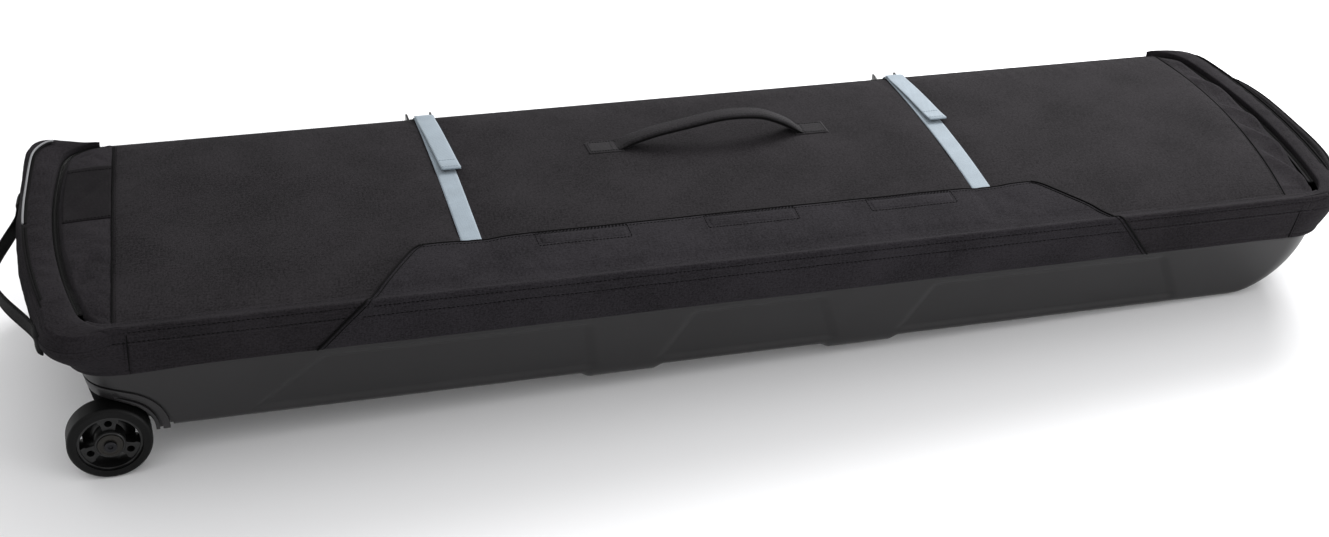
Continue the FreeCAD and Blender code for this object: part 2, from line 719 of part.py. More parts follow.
def make_cover_flap():
    """A tapered flap over the sewn edge: one length on the wall and one on the lid."""
    foot, top = s.flap_foot_x, s.flap_top_x
    drop = s.wall_height
    run = s.lid_half_width - s.flap_reach_y
    share = number(drop) / (number(drop) + number(run))
    bend_x = foot - (foot - top) * share

    lean = (s.crown_half_width - s.rim_half_width) * (s.wall_height / s.shoulder_height)
    side = new_body("cover_flap_side")
    outline = new_sketch(side, "YZ_Plane")
    low_y, high_y = -s.rim_half_width - 0.5, -s.rim_half_width - lean - 0.5
    polygon(outline, [(low_y, 1), (high_y, s.wall_height - 2),
                      (high_y - s.flap_thick, s.wall_height - 2), (low_y - s.flap_thick, 1)])
    pad(side, outline, foot * 2, midplane=True)
    trim_flap(side, [(foot, 0), (bend_x, s.wall_height), (foot + 40, s.wall_height), (foot + 40, 0)])

    plate = crowned_strip((-s.lid_half_width, -s.flap_reach_y), s.flap_lift, s.flap_thick,
                          (-foot, foot))
    plate.Label = "FlapPlate"
    mask = document.addObject("PartDesign::Body", "FlapMask")
    outline = new_sketch(mask, "XY_Plane")
    polygon(outline, [(-bend_x, -s.lid_half_width - 1), (bend_x, -s.lid_half_width - 1),
                      (top, -s.flap_reach_y), (-top, -s.flap_reach_y)])
    pad(mask, outline, 200)
    keep(common(plate, mask), "cover_flap_top")


def trim_flap(body, corners):
    """Cut the slanted ends of the flap's wall length."""
    for mirror in (1, -1):
        sketch = new_sketch(body, "XZ_Plane")
        polygon(sketch, [(size_of(x) * mirror, z) for x, z in corners])
        pocket_through(body, sketch)


def make_grip_patches():
    patches = []
    for index in (-1, 0, 1):
        middle = size_of(index) * s.grip_patch_step - 10
        half = s.grip_patch_half
        patches.append(crowned_strip((-s.flap_reach_y - 5 - s.grip_patch_width, -s.flap_reach_y - 5),
                                     0.1, s.flap_lift - 0.2, (middle - half, middle + half)))
    keep(group(*patches), "flap_grip_patches")


# ---------------------------------------------------------------- straps and buckles

def make_strap(name, end):
    """Webbing over the lid to the buckle's bar, where it turns back into a free tail."""
    middle = s.strap_x * end
    x_range = (middle - s.strap_width / 2, middle + s.strap_width / 2)
    lift, thick = 0.3, s.strap_thick
    bar_y = s.lid_half_width + 6
    run = crowned_strip((-s.lid_half_width + 12, s.lid_half_width), lift, thick, x_range)
    tail_low = s.lid_half_width - s.strap_tail
    tail = crowned_strip((tail_low, s.lid_half_width), lift + number(thick) + 1, thick, x_range)
    hem = crowned_strip((tail_low, tail_low + 14), lift + number(thick) * 2 + 1, 1.4, x_range)
    run_low = s.lid_edge + lift
    lower = box(x_range, (s.lid_half_width, bar_y), (run_low, run_low + thick))
    upper = box(x_range, (s.lid_half_width, bar_y), (run_low + thick + 1, run_low + thick * 2 + 1))
    turn_start = (middle - s.strap_width / 2, bar_y, run_low + thick + 0.5)
    turn = cut(cylinder("x", thick + 0.5, turn_start, s.strap_width),
               cylinder("x", 0.5, turn_start, s.strap_width))
    turn = cut(turn, box(x_range, (bar_y - 20, bar_y), (0, 200)))
    keep(fuse(run, tail, hem, lower, upper, turn), "compression_strap_%s" % name)


def make_buckle(name, end):
    """A side-release buckle: the socket hangs on the wall and the prongs on the strap."""
    middle = s.strap_x * end
    half = s.buckle_width / 2
    y_low = s.crown_half_width + 6
    socket = box((middle - half, middle + half), (y_low, y_low + 10), (12, 42))
    cavity = box((middle - half + 3, middle + half - 3), (y_low + 1.2, y_low + 8.8), (19, 60))
    slot = box((middle - half + 4, middle + half - 4), (y_low - 1, y_low + 12),
               (s.slot_low, s.slot_high))
    windows = [box(span(middle + half * sign + sign, middle + half * sign - sign * 4),
                   (y_low + 2.5, y_low + 7.5), (24, 33)) for sign in (-1, 1)]
    keep(cut(cut(cut(socket, cavity), slot), fuse(*windows)), "buckle_socket_%s" % name)

    prong_y = (y_low + 3, y_low + 7)
    yoke = box((middle - half, middle + half), (y_low + 1, y_low + 9), (44, 51))
    prongs = [box(span(middle + sign * half * 0.70, middle + sign * half * 0.42), prong_y, (21, 45))
              for sign in (-1, 1)]
    tongue = box((middle - 2, middle + 2), prong_y, (23, 45))
    # The frame rises beside the strap and carries the bar that the strap turns round.
    posts = [box(span(middle + sign * half, middle + sign * (half - 3)), (y_low + 1, y_low + 9),
                 (50, s.lid_edge + 8)) for sign in (-1, 1)]
    cheeks = [box(span(middle + sign * half, middle + sign * (half - 3)),
                  (s.lid_half_width + 1.5, y_low + 2), (s.lid_edge - 4, s.lid_edge + 8))
              for sign in (-1, 1)]
    bar = box((middle - half, middle + half), (y_low + 1, y_low + 4), (51, 60))
    keep(fuse(yoke, tongue, bar, *prongs, *posts, *cheeks), "buckle_prongs_%s" % name)

    web_x = (middle - s.strap_width / 2 + 2, middle + s.strap_width / 2 - 2)
    # The webbing rises behind the socket's lower bar and turns forward over it.
    face = y_low - 0.1
    turn_low = s.slot_low + 0.5
    rise = box(web_x, (face - s.web_thick, face), (s.web_foot, turn_low + s.web_thick))
    turn = box(web_x, (face, y_low + 9.8), (turn_low, turn_low + s.web_thick))
    foot = box(web_x, (s.rim_half_width + 1.3, face - s.web_thick), (s.web_foot, s.web_foot + 2))
    keep(fuse(rise, turn, foot), "buckle_webbing_%s" % name)


# ---------------------------------------------------------------- zip

def make_zip():
    """Two tapes round the far edge and both ends, with two sliders on the far edge."""
    tape_y = s.crown_half_width
    far_run = box((-s.wall_seam_x, s.wall_seam_x), (tape_y - 1.4, tape_y + 1), (46, 55))
    runs = [far_run]
    for end, edge in ((WHEEL_END, s.lid_wheel_x), (NOSE_END, s.lid_nose_x)):
        inner = edge + s.tape_gap
        runs.append(box(side_range(end, inner, inner + s.tape_width), (-170, 170),
                        (s.shoulder_height, s.shoulder_height + s.tape_thick)))
    keep(group(*runs), "zip_tape_wall")
    lid_runs = [crowned_strip((s.lid_half_width - 11, s.lid_half_width - 1), 0.1, 1.2, x_range)
                for x_range in lid_tape_ranges()]
    keep(group(*lid_runs), "zip_tape_lid")
    for index, sign in (("left", -1), ("right", 1)):
        make_slider(index, s.slider_x * sign)


def lid_tape_ranges():
    """The stretches of the far edge that the two compression straps leave free."""
    clear = s.strap_width / 2 + 1
    return ((-s.lid_seam_wheel, -s.strap_x - clear), (-s.strap_x + clear, s.strap_x - clear),
            (s.strap_x + clear, s.lid_seam_nose))


def make_slider(name, middle):
    """A slider plate with a pin between two lugs, and the pull that hangs on the pin."""
    y_plate = s.crown_half_width + 1.4
    y_pin, z_pin = y_plate + s.pin_reach, s.wall_height - 5
    plate = box((middle - 6, middle + 6), (y_plate, y_plate + 2.5), (s.wall_height - 12, s.wall_height + 1))
    lugs = [box(span(middle + 2.6 * sign, middle + 4 * sign), (y_plate + 2, y_pin + 1.6),
                (z_pin - 1.8, z_pin + 1.8)) for sign in (-1, 1)]
    pin = cylinder("x", s.pin_radius, (middle - 3, y_pin, z_pin), 6)
    keep(fuse(plate, pin, *lugs), "zip_slider_%s" % name)

    eye = cylinder("x", s.pin_radius + 1.4, (middle - 2.4, y_pin, z_pin), 4.8)
    blade = box((middle - 2.4, middle + 2.4), (y_pin - 0.8, y_pin + 0.8), (z_pin - 16, z_pin))
    grip = box((middle - 4.5, middle + 4.5), (y_pin - 1.2, y_pin + 1.2),
               (z_pin - s.pull_length, z_pin - 12))
    bore = cylinder("x", s.pin_radius + s.running_gap, (middle - 3, y_pin, z_pin), 6)
    keep(cut(fuse(eye, blade, grip), bore), "zip_pull_%s" % name)


# ---------------------------------------------------------------- handles

def tapered_mask(half, width, end_width, taper, origin, across, along, through):
    """A block whose width falls to end_width over a taper at each end, to trim a strip."""
    ring = []
    for sign in (1, -1):
        steps = [(-half, end_width), (-half + taper, width), (half - taper, width),
                 (half, end_width)]
        for place_along, full in (steps if sign > 0 else reversed(steps)):
            ring.append(origin + along * place_along + across * (sign * full / 2))
    face = Part.Face(Part.makePolygon(ring + ring[:1]))
    return face.extrude(through)


def bowed_strip(half, rise, width, thick, origin, across, along, out):
    """A strip bent into an arc that bows out, with ends that narrow to their hinge line."""
    radius = (half ** 2 + rise ** 2) / (2 * rise)
    centre = origin + out * (rise - radius) - across * (width / 2)
    ring = Part.makeCylinder(radius, width, centre, across)
    ring = ring.cut(Part.makeCylinder(radius - thick, width, centre, across))
    mask = tapered_mask(half, width, width * 0.3, width, origin, across, along,
                        out * (rise + 5))
    return ring.common(mask)


X_AXIS, Y_AXIS, Z_AXIS = V(1, 0, 0), V(0, 1, 0), V(0, 0, 1)


def make_carry_handle():
    """A padded grip over the lid, sewn down at two patches."""
    pivot = V(number(s.handle_middle_x), number(s.handle_middle_y), number(s.lid_crown + s.handle_lift))
    grip = bowed_strip(number(s.handle_anchor_x) - 8, number(s.handle_rise),
                       number(s.handle_width), number(s.handle_thick), pivot,
                       Y_AXIS, X_AXIS, Z_AXIS)
    keep(group(feature(grip, "Grip")), "carry_handle")
    y_range = (s.handle_middle_y - 24, s.handle_middle_y + 24)
    patches = []
    for sign in (-1, 1):
        x_range = span(s.handle_middle_x + (s.handle_anchor_x - 22) * sign,
                       s.handle_middle_x + (s.handle_anchor_x + 20) * sign)
        patches.append(crowned_strip(y_range, 0.05, 1.4, x_range))
    keep(group(*patches), "handle_patches")


def make_end_handle(name, end, y_range, reach, thick, middle_z):
    """A webbing loop across one end of the bag, and the two tabs that hold it."""
    y_low, y_high = y_range
    skin, middle_z = number(s.crown_half_length) + 1, number(middle_z)
    pivot = V(end * skin, (y_low + y_high) / 2, middle_z)
    loop = bowed_strip((y_high - y_low) / 2, number(reach), number(s.loop_height), number(thick), pivot,
                       Z_AXIS, Y_AXIS, X_AXIS * end)
    keep(group(feature(loop, "Loop")), "%s_handle" % name)
    tabs = []
    for y_middle in (y_low - 7, y_high + 7):
        bow = y_middle ** 2 / (2 * number(s.end_radius))
        skin_here = number(s.crown_half_length) - bow - number(s.shoulder_height) * 0.08
        block = box(span(end * skin_here, end * (skin + 4)), (y_middle - 6.5, y_middle + 6.5),
                    (middle_z - 14, middle_z + 14))
        tabs.append(cut(block, feature(wall_block(0.01, 0, number(s.shoulder_height)), "Skin")))
    keep(group(*tabs), "%s_handle_tabs" % name)


def make_piping():
    """A thin cord sewn round the outer edge of each end shoulder, flat where it lies on it."""
    radius, foot = number(s.piping_radius), number(s.shoulder_height)
    for name, end in ENDS.items():
        reach = end * (number(s.crown_half_length) - 1)
        centre = V(reach - end * number(s.end_radius), 0, 0)
        turns = [math.pi * step / PIPING_FACETS for step in range(PIPING_FACETS + 1)]
        corners = [V(reach + radius * math.cos(turn), 0, foot + radius * math.sin(turn))
                   for turn in turns]
        profile = Part.Face(Part.makePolygon(corners + corners[:1]))
        ring = profile.revolve(centre, Z_AXIS, 360)
        zone = box(side_range(end, s.wall_seam_x, FAR_OUT), PIPING_RUN, (0, 100))
        keep(common(feature(ring, "Ring"), zone), "%s_piping" % name)


def build_all():
    tray_outside = make_tray()
    make_housings(tray_outside)
    make_floor_pad()
    for name, side in SIDES.items():
        make_tyre("tyre_%s" % name, side)
        make_wheel_hub("wheel_hub_%s" % name, side)
        make_bearings("wheel_bearings_%s" % name, side)
        make_axle(name, side)
    make_walls()
    make_lid()
    make_cover_flap()
    make_grip_patches()
    for name, end in ENDS.items():
        make_strap(name, end)
        make_buckle(name, end)
    make_zip()
    make_carry_handle()
    make_end_handle("wheel_end", WHEEL_END, WHEEL_LOOP_RUN, s.wheel_loop_reach, s.wheel_loop_thick,
                    s.wheel_loop_z)
    make_end_handle("nose_end", NOSE_END, NOSE_LOOP_RUN, s.nose_loop_reach, s.nose_loop_thick,
                    s.nose_loop_z)
    make_piping()
    document.recompute()


# ---------------------------------------------------------------- stance and output

def stance():
    """The turn that puts both wheels and the nose end of the underside on the ground."""
    reach = number(s.tray_nose_flat) + number(s.wheel_x)
    tilt = math.asin(number(s.wheel_radius) / reach)
    turn = FreeCAD.Placement(V(0, 0, 0), FreeCAD.Rotation(V(0, 1, 0), math.degrees(tilt)))
    axle = turn.multVec(V(-number(s.wheel_x), 0, -number(s.tray_depth)))
    lows, highs = [math.inf] * 2, [-math.inf] * 2
    for thing in PARTS.values():
        shape = thing.Shape.copy()
        shape.Placement = turn.multiply(shape.Placement)
        for point in shape.tessellate(0.3)[0]:
            for axis in (0, 1):
                lows[axis] = min(lows[axis], point[axis])
                highs[axis] = max(highs[axis], point[axis])
    turn.Base = V(-(lows[0] + highs[0]) / 2, -(lows[1] + highs[1]) / 2,
                  number(s.wheel_radius) - axle.z)
    return turn


def check_document():
    failed = [thing for thing in document.Objects if {"Invalid", "Error"} & set(thing.State)]
    if failed:
        raise RuntimeError("failed: %s" % [(t.Name, t.Label) for t in failed])
    for label, thing in PARTS.items():
        if thing.Shape.isNull() or not thing.Shape.isValid() or not thing.Shape.Solids:
            raise RuntimeError("%s has no valid solid" % label)


def main():
    build_all()
    check_document()
    placed = stance()
    for thing in PARTS.values():
        thing.Placement = placed.multiply(thing.Placement)
    document.recompute()
    check_document()
    os.makedirs("parts", exist_ok=True)
    for label, thing in PARTS.items():
        thing.Shape.exportStep("parts/%s.step" % label)
    print("stance: moved", [round(c, 4) for c in placed.Base],
          "turned", round(math.degrees(placed.Rotation.Angle), 4), "degrees about +Y")
    print("wrote", len(PARTS), "sub-parts")
    return placed


STANCE = main()
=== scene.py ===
import json
import math

import bmesh
import bpy
import numpy as np
from mathutils import Matrix, Vector, noise


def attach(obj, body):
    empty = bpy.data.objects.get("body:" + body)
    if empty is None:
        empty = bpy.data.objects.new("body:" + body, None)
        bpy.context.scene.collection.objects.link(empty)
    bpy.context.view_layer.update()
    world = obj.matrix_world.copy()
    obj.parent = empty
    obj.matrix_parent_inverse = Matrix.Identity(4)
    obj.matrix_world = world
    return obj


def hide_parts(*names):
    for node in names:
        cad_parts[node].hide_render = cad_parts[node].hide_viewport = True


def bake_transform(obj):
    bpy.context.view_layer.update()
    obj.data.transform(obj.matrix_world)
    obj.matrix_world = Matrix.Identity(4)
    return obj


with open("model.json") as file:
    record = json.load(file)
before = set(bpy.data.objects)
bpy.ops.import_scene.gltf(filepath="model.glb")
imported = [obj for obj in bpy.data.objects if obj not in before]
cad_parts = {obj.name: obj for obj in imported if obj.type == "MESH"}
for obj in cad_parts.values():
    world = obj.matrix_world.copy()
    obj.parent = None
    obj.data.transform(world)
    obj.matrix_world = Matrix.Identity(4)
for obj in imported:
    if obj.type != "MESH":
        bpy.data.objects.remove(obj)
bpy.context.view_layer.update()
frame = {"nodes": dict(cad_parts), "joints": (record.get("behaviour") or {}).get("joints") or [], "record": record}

# ------------------------------------------------------------------ level frame
# Shapes are made in the bag's own level frame, in millimetres: x towards the
# nose, y towards the zipped side, z up from the lower edge of the fabric wall.
JOINTS = {j["name"]: j for j in frame["joints"]}
BODIES = frame["record"]["behaviour"]["bodies"]
BODY_OF = {node: body for body, members in BODIES.items() for node in members}
SLOT_OF = {piece["node"]: piece["material_slot"] for piece in frame["record"]["subparts"]}
HINGE = JOINTS["lid_hinge"]
HINGE_Y, HINGE_Z = -222.0, 57.0
TILT = math.atan2(-HINGE["axis"][2], HINGE["axis"][0])
TURN = Matrix.Rotation(TILT, 4, "Y")
SHIFT = Vector(HINGE["pos_m"]) - TURN @ Vector((0, HINGE_Y / 1000, HINGE_Z / 1000))
STANCE = Matrix.Translation(SHIFT) @ TURN
LEVEL = STANCE.inverted()
TURN_ROWS = np.array(TURN.to_3x3())


def row_points(points):
    """Level millimetres to row-frame metres."""
    p = np.asarray(points, float).reshape(-1, 3) / 1000.0
    return p @ TURN_ROWS.T + np.array(SHIFT)


def level_box(node):
    """Lowest and highest corner of a CAD node in level millimetres."""
    co = np.array([LEVEL @ v.co for v in frame["nodes"][node].data.vertices]) * 1000
    return co.min(0), co.max(0)


LID_LO, LID_HI = level_box("lid_panel")
LID_LOW_X = level_box("lid_wheel_end_panel")[0][0]
LID_HIGH_X = level_box("lid_nose_end_panel")[1][0]
SEAM_X, _, SHOULDER = level_box("wheel_end_wall")[1]
LID_Y = LID_HI[1]
CROWN_TOP, CROWN_EDGE = LID_HI[2], LID_HI[2] - 9.0
CROWN_R = (LID_Y ** 2 + (CROWN_TOP - CROWN_EDGE) ** 2) / (2 * (CROWN_TOP - CROWN_EDGE))
UNDER_Z = LID_LO[2]
# Half the wall's length and width at its hem and at its shoulder.
RIM_X, RIM_Y = 852.0, 209.0
CROWN_X, CROWN_Y = 862.0, 223.0
# The ends bow outwards on a wide arc between two rounded corners.
BOW, WALL_CORNER = 900.0, 62.0
STITCH_Z = (64.0, 48.0)
WHEEL_X, WHEEL_Z = -800.0, -108.0
TRAY_DEPTH = 108.0
UP = np.array([0, 0, 1.0])


def smooth(a, b, x):
    t = np.clip((np.asarray(x, float) - a) / (b - a), 0, 1)
    return t * t * (3 - 2 * t)


def crown(y):
    """The lid's bare top over y."""
    return CROWN_TOP - CROWN_R + np.sqrt(CROWN_R ** 2 - np.asarray(y, float) ** 2)


def rough(x, y, size, seed=0.0):
    """Smooth noise from -1 to 1 over a plan position in millimetres."""
    return noise.noise(Vector((x / size + seed * 7.3, y / size - seed * 3.1, seed * 1.7)))


def roughs(xs, ys, size, seed=0.0):
    xs, ys = np.broadcast_arrays(np.asarray(xs, float), np.asarray(ys, float))
    flat = [rough(a, b, size, seed) for a, b in zip(xs.ravel(), ys.ravel())]
    return np.array(flat).reshape(xs.shape)


# ------------------------------------------------------------------ mesh helpers
def make(name, verts, faces, mat, uvs=None, smooth_on=True, creased=None):
    """A mesh object from level millimetres. uvs are one pair of millimetres per vertex."""
    mesh = bpy.data.meshes.new(name)
    placed = [tuple(p) for p in row_points(verts)]
    mesh.from_pydata(placed, [], [tuple(int(i) for i in f) for f in faces])
    mesh.validate()
    if uvs is not None:
        layer = mesh.uv_layers.new(name="UVMap")
        index = np.zeros(len(mesh.loops), int)
        mesh.loops.foreach_get("vertex_index", index)
        layer.data.foreach_set("uv", (np.asarray(uvs, float)[index] / 1000.0).astype(np.float32).ravel())
    bm = bmesh.new()
    bm.from_mesh(mesh)
    bmesh.ops.recalc_face_normals(bm, faces=bm.faces)
    bm.to_mesh(mesh)
    bm.free()
    if smooth_on:
        mesh.polygons.foreach_set("use_smooth", [True] * len(mesh.polygons))
    obj = bpy.data.objects.new(name, mesh)
    bpy.context.scene.collection.objects.link(obj)
    if mat is not None:
        mesh.materials.append(mat)
    if creased:
        mesh.set_sharp_from_angle(angle=math.radians(creased))
    return obj


def ride(obj, body, *nodes, slot="black_fabric"):
    """Says which body a piece moves with and which CAD nodes it stands for. slot, what it is made of, is not used.
    """
    if nodes:
        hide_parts(*nodes)
    if body:
        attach(obj, body)
    return obj


def joined(parts):
    """One vertex and face list from several."""
    verts, faces, base = [], [], 0
    for part in parts:
        v = np.asarray(part[0], float).reshape(-1, 3)
        verts.append(v)
        faces += [tuple(i + base for i in face) for face in part[1]]
        base += len(v)
    return np.concatenate(verts), faces


def put(name, parts, mat, body, *nodes, slot="black_fabric", uvs=None, uv_axes=None, **how):
    """Makes one piece of several parts, on its body and in place of its CAD nodes."""
    verts, faces = joined(parts)
    if uv_axes:
        uvs = verts[:, uv_axes]
    return ride(make(name, verts, faces, M[mat], uvs, **how), body, *nodes, slot=slot)


def at_height(points, z):
    """Plan points with a height, or one height each."""
    return np.column_stack([points, np.broadcast_to(np.asarray(z, float), (len(points),))])


def grid(rows, cols, wrap=False, flip=False):
    """Faces of a rows x cols vertex grid. With wrap, the last column meets the first."""
    faces = []
    last = cols if wrap else cols - 1
    for i in range(rows - 1):
        for j in range(last):
            k = (j + 1) % cols
            f = (i * cols + j, i * cols + k, (i + 1) * cols + k, (i + 1) * cols + j)
            faces.append(f[::-1] if flip else f)
    return faces


def tube_faces(rows, cols):
    """Faces of a tube with both ends capped."""
    last = (rows - 1) * cols
    return grid(rows, cols, wrap=True) + [tuple(range(cols))[::-1], tuple(last + j for j in range(cols))]


def ring_faces(rows, cols):
    """Faces of a tube that comes back on itself, as a ring round an axis does."""
    last = (rows - 1) * cols
    back = [(last + j, last + (j + 1) % cols, (j + 1) % cols, j) for j in range(cols)]
    return grid(rows, cols, wrap=True) + back


def closed_sheet(top, bottom):
    """Vertices and faces of a closed form from two matching (rows, cols, 3) grids."""
    rows, cols = top.shape[:2]
    n = rows * cols
    verts = np.concatenate([top.reshape(-1, 3), bottom.reshape(-1, 3)])
    faces = grid(rows, cols) + [tuple(i + n for i in f[::-1]) for f in grid(rows, cols)]
    edge = [j for j in range(cols)]
    edge += [i * cols + cols - 1 for i in range(1, rows)]
    edge += [(rows - 1) * cols + j for j in range(cols - 2, -1, -1)]
    edge += [i * cols for i in range(rows - 2, 0, -1)]
    for a, b in zip(edge, edge[1:] + edge[:1]):
        faces.append((a, a + n, b + n, b))
    return verts, faces


def sheet_uv(top):
    """Arc-length uvs of a (rows, cols, 3) grid, in millimetres."""
    rows, cols = top.shape[:2]
    u = np.zeros((rows, cols))
    v = np.zeros((rows, cols))
    u[:, 1:] = np.cumsum(np.linalg.norm(np.diff(top, axis=1), axis=2), axis=1)
    v[1:, :] = np.cumsum(np.linalg.norm(np.diff(top, axis=0), axis=2), axis=0)
    u -= u[:, cols // 2:cols // 2 + 1]
    v -= v[rows // 2:rows // 2 + 1, :]
    return np.stack([u, v], axis=2).reshape(-1, 2)


def cloth(name, top, low, mat):
    """A thin closed form between two matching grids, woven along the upper one."""
    verts, faces = closed_sheet(top, low)
    return make(name, verts, faces, M[mat], uvs=np.concatenate([sheet_uv(top)] * 2))


def unit(vectors):
    """Vectors brought to length 1."""
    return vectors / (np.linalg.norm(vectors, axis=-1)[..., None] + 1e-12)


def run_of(path):
    """The distance along a polyline at each of its points."""
    return np.concatenate([[0], np.cumsum(np.linalg.norm(np.diff(np.asarray(path, float), axis=0), axis=1))])


def resample(points, step):
    """Points at an even spacing along a polyline."""
    p = np.asarray(points, float)
    d = run_of(p)
    at = np.linspace(0, d[-1], max(2, int(round(d[-1] / step)) + 1))
    return np.stack([np.interp(at, d, p[:, k]) for k in range(3)], axis=1)


def path_normals(path, across, toward):
    """Normals of a path, square to the across direction and on the side that toward points to."""
    n = unit(np.cross(np.asarray(across, float), unit(np.gradient(np.asarray(path, float), axis=0))))
    return -n if n[len(n) // 2] @ np.asarray(toward, float) < 0 else n


def tube_parts(path, radius, sides=8, up=(0, 0, 1)):
    """Vertices and faces of a round tube along a path."""
    p = np.asarray(path, float)
    t = unit(np.gradient(p, axis=0))
    side = unit(np.cross(t, np.asarray(up, float)))
    over = np.cross(side, t)
    radius = np.broadcast_to(np.asarray(radius, float), (len(p),))[:, None, None]
    a = np.linspace(0, 2 * np.pi, sides, endpoint=False)[None, :, None]
    verts = p[:, None, :] + radius * (np.cos(a) * side[:, None, :] + np.sin(a) * over[:, None, :])
    return verts.reshape(-1, 3), tube_faces(len(p), sides)


def stitch_parts(path, normals=UP, length=3.6, gap=1.9, radius=0.42, lift=0.18):
    """Sewn thread: a row of short dashes half sunk in the cloth along a path."""
    p = resample(path, (length + gap) / 2)
    d = run_of(path)
    at = np.linspace(0, d[-1], len(p))
    nn = np.broadcast_to(np.asarray(normals, float), (len(path), 3))
    nn = unit(np.stack([np.interp(at, d, nn[:, k]) for k in range(3)], axis=1))
    share = length / (length + gap)
    parts = []
    for i in range(0, len(p) - 2, 2):
        a, b, n = p[i], p[i] + (p[i + 2] - p[i]) * share, nn[i + 1]
        run = b - a
        side = np.cross(run / (np.linalg.norm(run) + 1e-9), n)
        ring = []
        for t, r in ((0.0, 0.35), (0.25, 1.0), (0.75, 1.0), (1.0, 0.35)):
            c = a + run * t + n * (lift * (1.0 if 0 < t < 1 else -0.8))
            for k in range(5):
                q = 2 * math.pi * k / 5
                ring.append(c + radius * r * (math.cos(q) * side + math.sin(q) * n))
        parts.append((np.array(ring), tube_faces(4, 5)))
    return parts


def plan_grid(x0, x1, cols, y0, y1, rows):
    """A rectangle's grid, and each point's distance in from the rectangle's edge."""
    gx, gy = np.meshgrid(np.linspace(x0, x1, cols), np.linspace(y0, y1, rows))
    return gx, gy, np.minimum(np.minimum(gx - x0, x1 - gx), np.minimum(gy - y0, y1 - gy))


def bake(obj):
    """Applies every modifier on an object."""
    bpy.context.view_layer.update()
    dg = bpy.context.evaluated_depsgraph_get()
    mesh = bpy.data.meshes.new_from_object(obj.evaluated_get(dg))
    obj.modifiers.clear()
    obj.data = mesh
    return obj


def cut_with(obj, tool):
    """Cuts a tool out of an object, and removes the tool."""
    mod = obj.modifiers.new("cut", "BOOLEAN")
    mod.operation, mod.object, mod.solver = "DIFFERENCE", tool, "EXACT"
    bake(obj)
    bpy.data.objects.remove(tool)
    return obj


def settled(obj, pinned, cap, slack=0.004):
    """Lets a padded piece swell and wrinkle as cloth. Pinned points stay, and no point moves
    past cap millimetres."""
    mesh = obj.data
    before = np.empty(len(mesh.vertices) * 3)
    mesh.vertices.foreach_get("co", before)
    group = obj.vertex_groups.new(name="pinned")
    group.add([int(i) for i in pinned], 1.0, "REPLACE")
    modifier = obj.modifiers.new("cloth", "CLOTH")
    rules = modifier.settings
    rules.vertex_group_mass = "pinned"
    rules.mass = 0.02
    rules.quality = 6
    rules.use_pressure = True
    rules.uniform_pressure_force = 4.0
    rules.shrink_min = -slack
    rules.tension_stiffness = rules.compression_stiffness = 12.0
    rules.bending_stiffness = 1.5
    rules.effector_weights.gravity = 0.0
    modifier.collision_settings.use_collision = False
    modifier.point_cache.frame_start, modifier.point_cache.frame_end = 1, 20
    scene = bpy.context.scene
    for step in range(1, 21):
        scene.frame_set(step)
    made = bpy.data.meshes.new_from_object(obj.evaluated_get(bpy.context.evaluated_depsgraph_get()))
    after_sim = np.empty(len(made.vertices) * 3)
    made.vertices.foreach_get("co", after_sim)
    move = (after_sim - before).reshape(-1, 3)
    far = np.linalg.norm(move, axis=1)
    limit = cap / 1000.0
    move *= (limit * np.tanh(far / limit) / np.maximum(far, 1e-9))[:, None]
    mesh.vertices.foreach_set("co", before + move.ravel())
    obj.modifiers.remove(modifier)
    obj.vertex_groups.clear()
    bpy.data.meshes.remove(made)
    scene.frame_set(1)
    mesh.update()


def worked(node, material, bevel, body, slot=None, edit=None, cutter=None):
    """A finished copy of a CAD part: its own shape with worked edges, standing for that part."""
    source = frame["nodes"][node]
    mesh = source.data.copy()
    obj = bpy.data.objects.new(node + "_finish", mesh)
    bpy.context.scene.collection.objects.link(obj)
    obj.matrix_world = source.matrix_world.copy()
    bm = bmesh.new()
    bm.from_mesh(mesh)
    bmesh.ops.remove_doubles(bm, verts=bm.verts, dist=0.00002)
    if edit:
        for v in bm.verts:
            q = LEVEL @ (source.matrix_world @ v.co) * 1000
            v.co = source.matrix_world.inverted() @ (STANCE @ (Vector(edit(*q)) / 1000))
    bmesh.ops.dissolve_limit(bm, angle_limit=math.radians(1.5), verts=bm.verts, edges=bm.edges)
    bm.to_mesh(mesh)
    bm.free()
    mesh.materials.clear()
    mesh.materials.append(M[material])
    if cutter:
        cut_with(obj, cutter)
    mod = obj.modifiers.new("edge", "BEVEL")
    mod.width, mod.segments = bevel / 1000.0, 2
    mod.limit_method, mod.angle_limit = "ANGLE", math.radians(35)
    mod.use_clamp_overlap = True
    bake(obj)
    obj.data.polygons.foreach_set("use_smooth", [True] * len(obj.data.polygons))
    obj.data.set_sharp_from_angle(angle=math.radians(40))
    ride(obj, body, node, slot=slot or SLOT_OF[node])


# ------------------------------------------------------------------ plan outlines
COUNTS = {"side": 360, "stub": 8, "corner": 20, "end": 72}


